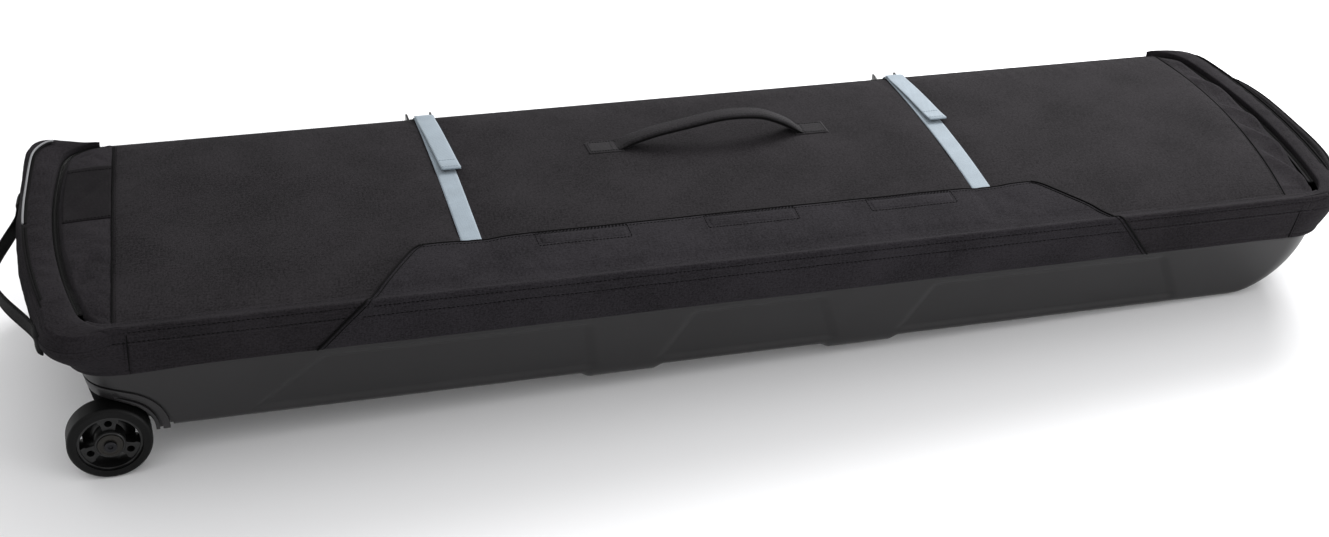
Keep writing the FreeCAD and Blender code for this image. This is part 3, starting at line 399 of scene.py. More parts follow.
def plan(low, high, half, corner, bow=BOW, seam=SEAM_X):
    """A closed plan outline, from the near side's middle round by the wheel end.
    Returns points, outward normals and the index range of each stretch."""
    seam = abs(seam)
    reach = math.sqrt((bow - corner) ** 2 - (half - corner) ** 2)
    rise = math.atan2(half - corner, reach)
    low_c, high_c = low + bow - reach, high - bow + reach
    pts, nrm, spans = [], [], {}

    def line(name, x0, x1, y, count):
        start = len(pts)
        for k in range(count):
            pts.append((x0 + (x1 - x0) * k / count, y))
            nrm.append((0, math.copysign(1, y)))
        spans[name] = (start, len(pts))

    def arc(name, cx, cy, r, a0, a1, count):
        start = len(pts)
        for k in range(count):
            a = a0 + (a1 - a0) * k / count
            pts.append((cx + r * math.cos(a), cy + r * math.sin(a)))
            nrm.append((math.cos(a), math.sin(a)))
        spans[name] = (start, len(pts))

    side, stub, turn, end = (COUNTS[k] for k in ("side", "stub", "corner", "end"))
    pi = math.pi
    line("near_a", 0, -seam, -half, side // 2)
    line("near_stub_w", -seam, low_c, -half, stub)
    arc("corner_nw", low_c, -(half - corner), corner, -pi / 2, -pi + rise, turn)
    arc("end_w", low + bow, 0, bow, -pi + rise, -pi - rise, end)
    arc("corner_fw", low_c, half - corner, corner, -pi - rise, -3 * pi / 2, turn)
    line("far_stub_w", low_c, -seam, half, stub)
    line("far", -seam, seam, half, side)
    line("far_stub_n", seam, high_c, half, stub)
    arc("corner_fn", high_c, half - corner, corner, pi / 2, rise, turn)
    arc("end_n", high - bow, 0, bow, rise, -rise, end)
    arc("corner_nn", high_c, -(half - corner), corner, -rise, -pi / 2, turn)
    line("near_stub_n", high_c, seam, -half, stub)
    line("near_b", seam, 0, -half, side // 2)
    return np.array(pts), np.array(nrm), spans


def wall_half(z):
    """Half the fabric wall's length and width at a height."""
    k = z / SHOULDER
    return RIM_X + (CROWN_X - RIM_X) * k, RIM_Y + (CROWN_Y - RIM_Y) * k


def wall_plan(z):
    """The fabric wall's outside at a height."""
    x, y = wall_half(z)
    return plan(-x, x, y, WALL_CORNER)


def end_push(sign, nx, ny, z):
    """How far an end's padding stands outside the plan: fullest at half height, squarer at the corners."""
    nx, ny, z = np.abs(nx), np.abs(ny), np.asarray(z, float)
    bulge, lean, square = (25.0, 10.0, 15.0) if sign < 0 else (5.0, 3.0, 6.0)
    middle = nx ** 1.5 * (bulge * smooth(-4, 38, z) - lean * smooth(46, 70, z))
    return middle + square * (2 * nx * ny) ** 2 * (0.45 + 0.55 * smooth(0, 40, z))


def collar(x, y):
    """The far wheel-end corner of the shoulder stands up as a stiff collar."""
    return 12.0 * smooth(100, 200, y) * smooth(-796, -840, x)


LID_PLAN = plan(LID_LOW_X, LID_HIGH_X, LID_Y, 48.0)
GROOVE_PLAN = plan(LID_LOW_X - 9, LID_HIGH_X + 9, LID_Y + 3, 53.0)
SPANS = LID_PLAN[2]
TOTAL = len(LID_PLAN[0])


def stretch(first, last):
    """Indices from the start of one stretch to the end of another, going round."""
    a, b = SPANS[first][0], SPANS[last][1]
    return [i % TOTAL for i in range(a, b + 1 + (TOTAL if b < a else 0))]


def on_stitch(z):
    """Whether a height lies in the dip of one of the wall's two stitch lines."""
    return any(abs(z - line) < 0.9 for line in STITCH_Z)


# ------------------------------------------------------------------ materials
def nodes_of(name):
    """A new material, its node tree and its shader."""
    mat = bpy.data.materials.new(name)
    mat.use_nodes = True
    return mat, mat.node_tree, mat.node_tree.nodes["Principled BSDF"]


def add(tree, kind, vector=None, **values):
    """A node with its input sockets and its own settings."""
    node = tree.nodes.new(kind)
    for key, value in values.items():
        if key in node.inputs:
            node.inputs[key].default_value = value
        else:
            setattr(node, key, value)
    if vector is not None:
        tree.links.new(vector, node.inputs["Vector"])
    return node


def math_node(tree, operation, a, b):
    node = add(tree, "ShaderNodeMath", operation=operation)
    for i, value in enumerate((a, b)):
        if isinstance(value, (int, float)):
            node.inputs[i].default_value = value
        else:
            tree.links.new(value, node.inputs[i])
    return node.outputs[0]


def total(tree, *terms):
    """The sum of (output, weight) pairs."""
    out = None
    for value, weight in terms:
        share = value if weight == 1 else math_node(tree, "MULTIPLY", value, weight)
        out = share if out is None else math_node(tree, "ADD", out, share)
    return out


def coords_of(tree, kind):
    return tree.nodes.new("ShaderNodeTexCoord").outputs[kind]


def scaled(tree, source, scale):
    return add(tree, "ShaderNodeMapping", source, Scale=scale).outputs[0]


def noise_node(tree, vector, scale, detail=2.0, roughness=0.5):
    return add(tree, "ShaderNodeTexNoise", vector, Scale=scale, Detail=detail, Roughness=roughness).outputs["Fac"]


def bands(tree, vector, direction, scale, distortion, **values):
    return add(tree, "ShaderNodeTexWave", vector, wave_type="BANDS", bands_direction=direction, Scale=scale,
               Distortion=distortion, **values).outputs["Fac"]


def paint(tree, bsdf, fac, dark, light):
    """The base colour between two colours."""
    node = add(tree, "ShaderNodeMix", data_type="RGBA")
    tree.links.new(fac, node.inputs["Factor"])
    node.inputs["A"].default_value, node.inputs["B"].default_value = dark, light
    tree.links.new(node.outputs["Result"], bsdf.inputs["Base Color"])


def surface(tree, bsdf, height, bump, distance, **values):
    """The bump, and values that are the same all over the surface."""
    bumped = add(tree, "ShaderNodeBump", Strength=bump, Distance=distance)
    tree.links.new(height, bumped.inputs["Height"])
    tree.links.new(bumped.outputs[0], bsdf.inputs["Normal"])
    for key, value in values.items():
        bsdf.inputs[key.replace("_", " ")].default_value = value


def ramp(tree, fac, stops):
    node = tree.nodes.new("ShaderNodeValToRGB")
    tree.links.new(fac, node.inputs[0])
    while len(node.color_ramp.elements) < len(stops):
        node.color_ramp.elements.new(0.5)
    for element, (at, value) in zip(node.color_ramp.elements, stops):
        element.position = at
        element.color = (value, value, value, 1)
    return node.outputs[0]


def grey(v, tint=(1.0, 1.0, 1.0)):
    """A grey with a slight tint, as a colour."""
    return (v * tint[0], v * tint[1], v * tint[2], 1.0)


def weave(name, dark, light, pitch=1.0, sheen=0.25, bump=0.25, coords="UV", slub=0.5, tint=(1.0, 0.96, 1.0),
          gloss=0.05):
    """Woven cloth: crossing yarns, slubs, soft colour patches, fluffy sheen."""
    patch = 0.35
    mat, tree, bsdf = nodes_of(name)
    base = coords_of(tree, coords)
    warp, weft = (bands(tree, base, way, 500.0 / pitch, 0.6, Detail=1.0) for way in "XY")
    cross = math_node(tree, "MULTIPLY", warp, weft)
    streak = math_node(tree, "ADD", noise_node(tree, scaled(tree, base, (60, 900, 60)), 1.0),
                       noise_node(tree, scaled(tree, base, (900, 60, 60)), 1.0))
    fine = noise_node(tree, base, 340.0, 3.0, 0.7)
    broad = noise_node(tree, base, 9.0, 3.0, 0.55)
    tone = total(tree, (cross, 0.22), (streak, 0.5 * slub), (fine, 0.8), (broad, patch))
    middle = 0.45 + 0.5 * slub + 0.5 * patch
    fac = ramp(tree, tone, ((middle - 0.2, 0.0), (middle + 0.22, 1.0)))
    paint(tree, bsdf, fac, grey(dark, tint), grey(light, tint))
    surface(tree, bsdf, total(tree, (cross, 0.5), (fine, 0.5), (streak, 0.3)), bump, 0.0006, Roughness=0.86,
            Specular_IOR_Level=gloss, Sheen_Weight=sheen, Sheen_Roughness=0.45,
            Sheen_Tint=(0.86, 0.84, 0.9, 1))
    return mat


def webbing(name, dark, light, tint, rib=2.4, sheen=0.15, bump=0.5, rough_value=0.62, gloss=0.3):
    """Narrow woven strap: slanting ribs across u, fine yarns, slightly glossy."""
    mat, tree, bsdf = nodes_of(name)
    base = coords_of(tree, "UV")
    slant = bands(tree, scaled(tree, base, (1.6, 0.75, 1)), "DIAGONAL", 500.0 / rib, 0.15)
    ribs = bands(tree, base, "Y", 500.0 / 1.3, 0.1)
    fine = noise_node(tree, base, 700.0, 3.0, 0.7)
    broad = noise_node(tree, base, 25.0)
    fac = ramp(tree, total(tree, (slant, 0.3), (fine, 0.4), (broad, 0.3)), ((0.2, 0.0), (0.8, 1.0)))
    paint(tree, bsdf, fac, grey(dark, tint), grey(light, tint))
    surface(tree, bsdf, total(tree, (slant, 1), (ribs, 0.5), (fine, 0.4)), bump, 0.0004, Roughness=rough_value,
            Specular_IOR_Level=gloss, Sheen_Weight=sheen, Sheen_Roughness=0.5)
    return mat


def plastic(name, dark, light, rough_low, rough_high, grain=900.0, bump=0.12, tint=(1, 1, 1), specular=0.45):
    """Moulded plastic: fine pebble grain, uneven gloss, a few pale scuffs."""
    mat, tree, bsdf = nodes_of(name)
    base = coords_of(tree, "Object")
    pebble = add(tree, "ShaderNodeTexVoronoi", base, Scale=grain).outputs["Distance"]
    fine = noise_node(tree, base, 350.0, 4.0, 0.6)
    broad = noise_node(tree, base, 6.0, 4.0, 0.6)
    scratch = noise_node(tree, scaled(tree, base, (12, 260, 260)), 1.0, 5.0, 0.7)
    marks = ramp(tree, scratch, ((0.62, 0.0), (0.78, 0.4)))
    tone = total(tree, (broad, 0.7), (fine, 0.3), (marks, 0.5))
    paint(tree, bsdf, ramp(tree, tone, ((0.3, 0.0), (0.75, 1.0))), grey(dark, tint), grey(light, tint))
    gloss = total(tree, (tone, rough_high - rough_low))
    tree.links.new(math_node(tree, "ADD", gloss, rough_low), bsdf.inputs["Roughness"])
    surface(tree, bsdf, total(tree, (pebble, 0.6), (fine, 0.5)), bump, 0.0003, Specular_IOR_Level=specular)
    return mat


def metal(name, colour, rough_value):
    """Turned or plated metal with fine circular tool marks."""
    mat, tree, bsdf = nodes_of(name)
    base = coords_of(tree, "Object")
    marks = noise_node(tree, scaled(tree, base, (900, 60, 900)), 1.0, 3.0)
    paint(tree, bsdf, noise_node(tree, base, 60.0, 3.0), tuple(0.75 * c for c in colour) + (1,), colour + (1,))
    tree.links.new(math_node(tree, "ADD", total(tree, (marks, 0.25)), rough_value), bsdf.inputs["Roughness"])
    surface(tree, bsdf, marks, 0.1, 0.0002, Metallic=1.0)
    return mat


WARM = (1.05, 0.95, 1.05)
M = {
    "lid": weave("lid_cloth", 0.003, 0.021, 1.5, 0.022, 0.5, tint=WARM),
    "flap": weave("flap_cloth", 0.004, 0.023, 1.3, 0.025, 0.5, tint=(1.03, 0.94, 1.09)),
    "wall": weave("wall_cloth", 0.004, 0.019, 1.3, 0.02, 0.5, tint=(1.05, 0.94, 1.07)),
    "end": weave("end_cloth", 0.004, 0.022, 1.1, 0.03, 0.35, slub=0.3, tint=(1.06, 0.94, 1.08)),
    "patch": weave("pocket_cloth", 0.003, 0.012, 1.1, 0.02, 0.3, slub=0.3, tint=(1.06, 0.94, 1.06)),
    "foam": weave("pad_cloth", 0.012, 0.04, 1.6, 0.06, 0.5, slub=0.2),
    "thread": weave("thread", 0.001, 0.005, 0.5, 0.01, 0.2, coords="Object"),
    "tape": weave("zip_tape_cloth", 0.006, 0.022, 0.8, 0.03, 0.3, slub=0.1),
    "strap": webbing("grey_strap", 0.15, 0.4, (0.80, 0.97, 1.12)),
    "strap_thread": weave("grey_thread", 0.14, 0.3, 0.5, 0.03, 0.2, coords="Object", tint=(0.8, 0.96, 1.1)),
    "black_web": webbing("black_strap", 0.002, 0.008, (1, 0.97, 1.02), sheen=0.01, gloss=0.05),
    "handle": weave("handle_cloth", 0.004, 0.02, 1.0, 0.04, 0.5, slub=0.2, tint=(1.05, 0.95, 1.06), gloss=0.15),
    "cord": weave("cord_cloth", 0.002, 0.007, 0.9, 0.02, 0.4, slub=0.1),
    "reflect": webbing("reflective_piping", 0.12, 0.26, (0.97, 0.98, 1.03), rib=1.2, bump=0.3, rough_value=0.42),
    "shell": plastic("moulded_shell", 0.0075, 0.0135, 0.32, 0.46, 1100.0, tint=(1.04, 0.98, 1.05), specular=0.36),
    "housing": plastic("housing_plastic", 0.0095, 0.0155, 0.3, 0.45, 1100.0, 0.1, (1.04, 0.98, 1.04), 0.36),
    "hub": plastic("hub_plastic", 0.002, 0.005, 0.24, 0.4, 1500.0, 0.06, specular=0.4),
    "tyre": plastic("tyre_rubber", 0.001, 0.003, 0.38, 0.55, 700.0, 0.14, specular=0.15),
    "buckle": plastic("buckle_plastic", 0.002, 0.006, 0.22, 0.4, 1500.0, 0.05, specular=0.35),
    "coil": plastic("zip_coil", 0.002, 0.007, 0.3, 0.45, 2000.0, 0.05, specular=0.3),
    "steel": metal("steel", (0.32, 0.31, 0.3), 0.3),
    "bolt": metal("black_bolt", (0.035, 0.035, 0.038), 0.36),
    "washer": plastic("bearing_seal", 0.006, 0.016, 0.3, 0.45, 1500.0, 0.05, (1.15, 1.0, 0.8), 0.3),
    "zip_metal": metal("zip_metal", (0.08, 0.08, 0.085), 0.34),
}


# ------------------------------------------------------------------ lid fabric
def wheel_seam(y):
    """The lid seam near the wheels, as x over y."""
    return -769 + 0.075 * y


def nose_seam(y):
    """The bowed lid seam near the nose, as x over y."""
    return 752 + 32 * (1 - ((y - 80) / 285) ** 2)


STRAP_BOX = {end: level_box("compression_strap_" + end) for end in ("wheel_end", "nose_end")}
STRAP_MID = {end: (box[0][0] + box[1][0]) / 2 for end, box in STRAP_BOX.items()}
SWELL = {}


def lid_swell(x, y):
    """How far the settled cloth rises over its cut shape."""
    if not SWELL:
        return 0.0
    rise = SWELL["rise"]
    rows, cols = rise.shape
    along = np.clip((x - wheel_seam(y)) / (nose_seam(y) - wheel_seam(y)), 0, 1) * (cols - 1)
    over = np.clip((y + LID_Y) / (2 * LID_Y), 0, 1) * (rows - 1)
    i, j = np.minimum(over.astype(int), rows - 2), np.minimum(along.astype(int), cols - 2)
    u, v = over - i, along - j
    return (rise[i, j] * (1 - u) * (1 - v) + rise[i, j + 1] * (1 - u) * v
            + rise[i + 1, j] * u * (1 - v) + rise[i + 1, j + 1] * u * v)


def lid_grid(ys, cols):
    """Plan points between the lid's two seams, one row for each y."""
    y = np.repeat(ys[:, None], cols, axis=1)
    return wheel_seam(y) + (nose_seam(y) - wheel_seam(y)) * np.linspace(0, 1, cols)[None, :], y


def settle_lid():
    """Simulates the lid's padding on a coarse copy, held by the seams, the edges and the straps."""
    x, y = lid_grid(np.linspace(-LID_Y, LID_Y, 54), 150)
    top = np.stack([x, y, lid_height(x, y)], axis=2)
    copy = make("settling_copy", *closed_sheet(top, top * (1, 1, 0) + (0, 0, UNDER_Z)), None)
    held = (np.abs(y) > LID_Y - 12) | (x - wheel_seam(y) < 8) | (nose_seam(y) - x < 8)
    for mid in STRAP_MID.values():
        held |= np.abs(x - mid) < 15
    n = x.size
    settled(copy, list(np.flatnonzero(held.ravel())) + list(range(n, 2 * n)), 3.5)
    z = np.array([(LEVEL @ v.co).z * 1000 for v in copy.data.vertices[:n]]).reshape(x.shape)
    SWELL["rise"] = z - top[..., 2]
    bpy.data.objects.remove(copy)


def lid_height(x, y):
    """The lid cloth's outside height: crowned, pulled down under the straps, uneven between."""
    x, y = np.broadcast_arrays(np.asarray(x, float), np.asarray(y, float))
    z = crown(np.clip(y, -LID_Y, LID_Y)).copy()
    edge = np.clip((LID_Y - np.abs(y)) / 60, 0, 1)
    for mid in STRAP_MID.values():
        z -= 1.1 * np.exp(-((x - mid) / 34.0) ** 2) * (1 - 0.4 * edge)
    z += 0.9 * roughs(x, y * 1.4, 190, 1.0) * edge + 0.35 * roughs(x, y, 60, 2.0) * edge
    z -= 0.9 * (1 - smooth(0, 40, x - wheel_seam(y)) * smooth(0, 40, nose_seam(y) - x))
    return z + lid_swell(x, y)


def rolled(distance, depth):
    """How far a top has turned down at a distance from its free edge."""
    turned = depth - np.sqrt(np.clip(depth ** 2 - (depth - distance) ** 2, 0, None))
    return np.where(distance < depth, turned, 0)


def padded_slab(name, x, y, z, mat, distance, depth):
    """A padded closed form over a plan grid, turned down at its free edge."""
    under = np.broadcast_to(UNDER_Z + 0.4, x.shape)
    return cloth(name, np.stack([x, y, z - rolled(distance, depth)], axis=2), np.stack([x, y, under], axis=2), mat)


def lid_cover():
    """The lid's padded main panel, between its two seams."""
    edge = np.array([0.0, 0.5, 1.2, 2.2, 3.6, 5.5, 8.0, 11.0])
    ys = np.concatenate([LID_Y - edge, np.linspace(LID_Y - 15, 15 - LID_Y, 96), edge[::-1] - LID_Y])
    x, y = lid_grid(ys, 380)
    # The cloth dives into the seams at both ends.
    near_seam = np.minimum(x - wheel_seam(y), nose_seam(y) - x)
    z = lid_height(x, y) - 1.6 * (1 - smooth(0, 5, near_seam))
    obj = padded_slab("lid_cover", x, y, z, "lid", LID_Y - np.abs(y), 8.0)
    ride(obj, "lid", "lid_panel")


def crease_place(x, y, start, end):
    """Distances along and to the left of a line between two plan points, and its length."""
    ax, ay = end[0] - start[0], end[1] - start[1]
    length = math.hypot(ax, ay)
    u = ((x - start[0]) * ax + (y - start[1]) * ay) / length
    return u, ((x - start[0]) * -ay + (y - start[1]) * ax) / length, length


# Slack creases at the wheel end, with depth and width, and folded pleats at the nose.
CREASES = (((-822, 42), (-782, 104), 2.3, 7.0), ((-828, -142), (-792, -56), 2.8, 8.0),
           ((-806, 178), (-780, 205), 1.2, 6.0))
PLEATS = (((790, 205), (862, 126)), ((788, 142), (850, 36)), ((787, 52), (843, -32)), ((786, -8), (834, -102)),
          ((782, -78), (806, -150)))


def wheel_end_height(x, y, t):
    """The wheel-end cover's height, where t runs from its seam to the edge."""
    z = crown(np.clip(y, -LID_Y, LID_Y)) - 1.0 - 2.2 * t ** 2
    for start, end, depth, width in CREASES:
        u, v, length = crease_place(x, y, start, end)
        along = smooth(-14, 14, u) * (1 - smooth(length - 24, length + 10, u))
        z = z - depth * along * np.exp(-(v / width) ** 2)
        z = z + 0.6 * depth * along * np.exp(-((v - 1.7 * width) / (1.3 * width)) ** 2)
    return z + 1.1 * roughs(x, y, 34, 5.0)


def nose_end_height(x, y, t):
    """The nose-end cover's height, where t runs from its seam to the edge."""
    z = crown(np.clip(y, -LID_Y, LID_Y)) - 0.8 - 2.0 * t ** 2
    for start, end in PLEATS:
        u, v, _ = crease_place(x, y, start, end)
        ridge = np.where(v < 0, np.exp(-(v / 16.0) ** 2), np.exp(-(v / 3.4) ** 2))
        z = z + 4.6 * smooth(-2, 30, u) * (ridge - 0.35)
    return z + 0.5 * roughs(x, y, 40, 7.0)


def end_cover(name, seam, first, last, height, node):
    """A padded panel between a lid seam and the lid's outline at one end."""
    outline = LID_PLAN[0][stretch(first, last)]
    ys = outline[:, 1]
    # Seam points spread like the outline's, so that the grid stays even.
    d = run_of(outline)
    seam_y = ys[0] + (ys[-1] - ys[0]) * (0.5 * d / d[-1] + 0.5 * (ys - ys[0]) / (ys[-1] - ys[0]))
    inner = np.stack([seam(seam_y), seam_y], axis=1)
    t = np.linspace(0, 1, 34) ** 0.85
    t = np.unique(np.round(np.concatenate([t[:-1], 1 - np.array([0.02, 0.01, 0.0])]), 5))
    place = inner[None] * (1 - t[:, None, None]) + outline[None] * t[:, None, None]
    x, y = place[..., 0], place[..., 1]
    far = np.linalg.norm(place - outline[None], axis=2)
    near = np.linalg.norm(place - inner[None], axis=2)
    z = height(x, y, t[:, None]) - 1.8 * (1 - smooth(0, 5, near))
    obj = padded_slab(name, x, y, z, "end", far, 7.5)
    n = x.size
    sewn = (near < 3.0) | (far < 9.0) | ((x < 0) & (y > 13.0) & (y < 160.0))
    settled(obj, list(np.flatnonzero(sewn.ravel())) + list(range(n, 2 * n)), 1.8, slack=0.006)
    ride(obj, "lid", node)


def seam_line(name, seam, side):
    """The sewn seam between the lid's cloths: a sunk cord-thin line with stitches beside it."""
    ys = np.linspace(-LID_Y + 6, LID_Y - 6, 160)
    path = np.stack([seam(ys), ys, crown(ys) - 1.9], axis=1)
    stitches = stitch_parts(path + np.array([side * 4.0, 0, 1.55]), length=3.0, gap=1.6, radius=0.32)
    put(name, [tube_parts(path, 1.1, 6)] + stitches, "thread", "lid")


def pocket_patch():
    """The sewn-on patch of the pocket, with a doubled hem along its top edge."""
    y0, y1, over = 18.0, 155.0, 5.0
    ys = np.linspace(y0, y1, 40)
    end = LID_PLAN[0][stretch("end_w", "end_w")]
    x_edge = np.interp(ys, end[:, 1], end[:, 0])[:, None]
    t = np.linspace(0, 1, 26)
    gy = np.repeat(ys[:, None], 26, axis=1)
    gx = (wheel_seam(ys) - 2.0)[:, None] * (1 - t) + (x_edge + over) * t
    z = wheel_end_height(gx, gy, (gx - wheel_seam(gy)) / (x_edge - wheel_seam(gy)))
    hem = smooth(0, 1.2, y1 - gy) * (1 - smooth(9, 11, y1 - gy))
    roll = rolled(np.abs(gx - x_edge), 7.5)
    top = np.stack([gx, gy, z + 0.9 + hem + 0.5 * roughs(gx, gy, 20, 31.0) - roll], axis=2)
    ride(cloth("pocket_patch_cloth", top, np.stack([gx, gy, z - 0.8 - roll], axis=2), "patch"),
         "lid", "lid_pocket_patch")
    threads = []
    for row in (-4, 1):
        threads += stitch_parts(top[row] + 0.25 * UP, length=2.8, gap=1.5, radius=0.36)
    put("pocket_patch_stitches", threads, "thread", "lid")


# ------------------------------------------------------------------ walls
def wall_grid(indices, rows_spec):
    """(rows, cols, 3) of wall points. rows_spec is a list of (z, outward offset)."""
    out = []
    for z, offset in rows_spec:
        pts, nrm, _ = wall_plan(z)
        out.append(at_height(pts[indices] + nrm[indices] * offset, z))
    return np.array(out)


def wall_push(x, y, z):
    """How far the wall's cloth stands out: the same smooth noise for every layer that lies there."""
    run = x + np.sign(x) * np.abs(y) * 0.7
    return roughs(run, z * 1.6, 75, 1.0) * 0.9 + roughs(run, z * 2.2, 28, 4.0) * 0.9 * 0.3


def wall_rows(top):
    """Heights and offsets of the outer face from the hem up: hem roll, then a dip at each seam."""
    rows = [(-0.4, -2.2), (-0.6, -1.2), (-0.2, -0.3), (0.8, 0.25), (2.5, 0.35), (5.0, 0.1), (6.4, -0.55),
            (7.4, -0.2)]
    z = 10.0
    while z < top - 0.01:
        rows.append((z, 0.55 * math.sin(math.pi * min(z, 48) / 48)))
        z += 3.0
    for seam in STITCH_Z:
        if seam < top + 1:
            rows = [r for r in rows if abs(r[0] - seam) > 1.9]
            rows += [(seam - 1.6, 0.15), (seam - 0.6, -0.6), (seam, -0.75), (seam + 0.6, -0.6), (seam + 1.6, 0.25)]
    rows = [r for r in rows if r[0] <= top]
    rows.append((top, 0.1))
    return sorted(rows[:3], key=lambda r: r[1]) + sorted(rows[3:])


def hem_sag(x, y):
    """The hem hangs a little lower near the wheel-end seam."""
    return 3.2 * np.exp(-((x + 772) / 60.0) ** 2) * (y < 0) + 1.2 * np.exp(-((x - 780) / 50.0) ** 2)


def shoulder_rows(indices, sign, seed):
    """Rows that carry an end's wall over its rounded shoulder and down into the zip's groove."""
    pts, nrm, _ = wall_plan(SHOULDER)
    pts, n = pts[indices], nrm[indices]
    edge = pts + n * end_push(sign, n[:, 0], n[:, 1], SHOULDER)[:, None]
    lift = collar(pts[:, 0], pts[:, 1]) if sign < 0 else np.zeros(len(indices))
    groove, groove_n = GROOVE_PLAN[0][indices], GROOVE_PLAN[1][indices]
    r, rows = 5.5, []
    for a in np.radians(np.linspace(15, 90, 6)):
        z = SHOULDER - r + r * math.sin(a) + 1.0 * math.sin(a)
        rows.append(at_height(edge + n * (-r + r * math.cos(a)), z + lift))
    top_in = edge - n * r
    width = np.linalg.norm(top_in - groove, axis=1)
    for k in np.linspace(0.12, 1, 11):
        p = top_in * (1 - k) + groove * k
        arch = math.sin(math.pi * k)
        puff = 1.9 * arch * np.clip(width / 18, 0, 1)
        puff = puff + 1.5 * roughs(p[:, 0] * 0.6, p[:, 1] * 1.6, 24, seed + 9) * arch
        rows.append(at_height(p, SHOULDER + 1.0 + puff + 0.5 * k + lift * (1 - k) ** 0.8))
    for dz, step in ((-0.8, 0.5), (-3.0, 0.9), (-7.0, 1.0), (-9.5, 0.6)):
        rows.append(at_height(groove - groove_n * step, SHOULDER + 1.2 + dz))
    return np.array(rows)


def band(name, first, last, top, node, seed, shoulder=0, sags=True):
    """One stretch of the fabric wall as a closed band. shoulder is -1 at the wheel end, 1 at the
    nose end and 0 where there is none."""
    indices = stretch(first, last)
    outer = wall_grid(indices, wall_rows(SHOULDER - 5.0 if shoulder else top))
    n = LID_PLAN[1][indices]
    outer[..., :2] += n * wall_push(outer[..., 0], outer[..., 1], outer[..., 2])[..., None]
    if shoulder:
        y, z = outer[..., 1], outer[..., 2]
        slack = np.abs(n[:, 0]) * smooth(4, 30, z)
        push = end_push(shoulder, n[:, 0], n[:, 1], z)
        push = push + slack * (1.6 * roughs(y, z * 1.3, 46, seed) + 0.9 * roughs(y, z * 2.5, 20, seed + 5))
        outer[..., :2] += n * push[..., None]
        if shoulder < 0:
            outer[..., 2] += collar(outer[..., 0], outer[..., 1]) * smooth(30, 66, outer[..., 2])
    if sags:
        dip = hem_sag(outer[0, :, 0], outer[0, :, 1])
        outer[..., 2] -= dip[None, :] * (1 - smooth(0, 26, outer[..., 2]))
    if shoulder:
        outer = np.concatenate([outer, shoulder_rows(indices, shoulder, seed)])
    heights = np.linspace(1.5, (SHOULDER - 10) if shoulder else top, 6)
    inner = wall_grid(indices, [(min(z, SHOULDER - 9), -5.0) for z in heights])
    skin = np.concatenate([outer, inner[::-1]])
    rows, cols = skin.shape[:2]
    faces = grid(rows, cols)
    faces += [((rows - 1) * cols + j, (rows - 1) * cols + j + 1, j + 1, j) for j in range(cols - 1)]
    faces.append(tuple(i * cols for i in range(rows))[::-1])
    faces.append(tuple(i * cols + cols - 1 for i in range(rows)))
    obj = make(name, skin.reshape(-1, 3), faces, M["wall"], uvs=sheet_uv(skin))
    ride(obj, "base", node)


def wall_thread(name, indices, z, body, offset):
    """A line of stitches along the wall."""
    pts, nrm, _ = wall_plan(z)
    parts = stitch_parts(at_height(pts[indices] + nrm[indices] * (offset - 0.55), z), at_height(nrm[indices], 0.1),
                         length=3.4, gap=2.2, radius=0.45)
    return put(name, parts, "thread", body)


def upright_seams():
    """The wall's four upright seams, each with its row of stitches."""
    cords, threads = [], []
    for sx in (-1, 1):
        for sy in (-1, 1):
            heights = np.linspace(0.5, 60, 24)
            path = np.array([(sx * abs(SEAM_X), sy * (wall_half(z)[1] + 0.25), z) for z in heights])
            cords.append(tube_parts(path, 0.75, 6, up=(0, 1, 0)))
            threads += stitch_parts(path + (sx * 4.0, 0, 0), (0, sy, 0), length=3.0, gap=1.8, radius=0.36)
    put("wall_seams", cords + threads, "thread", "base")


# ------------------------------------------------------------------ fabric over the hinge
HINGE_SPAN = (-826.0, 812.0)
HINGE_STRAIGHT = 782.0


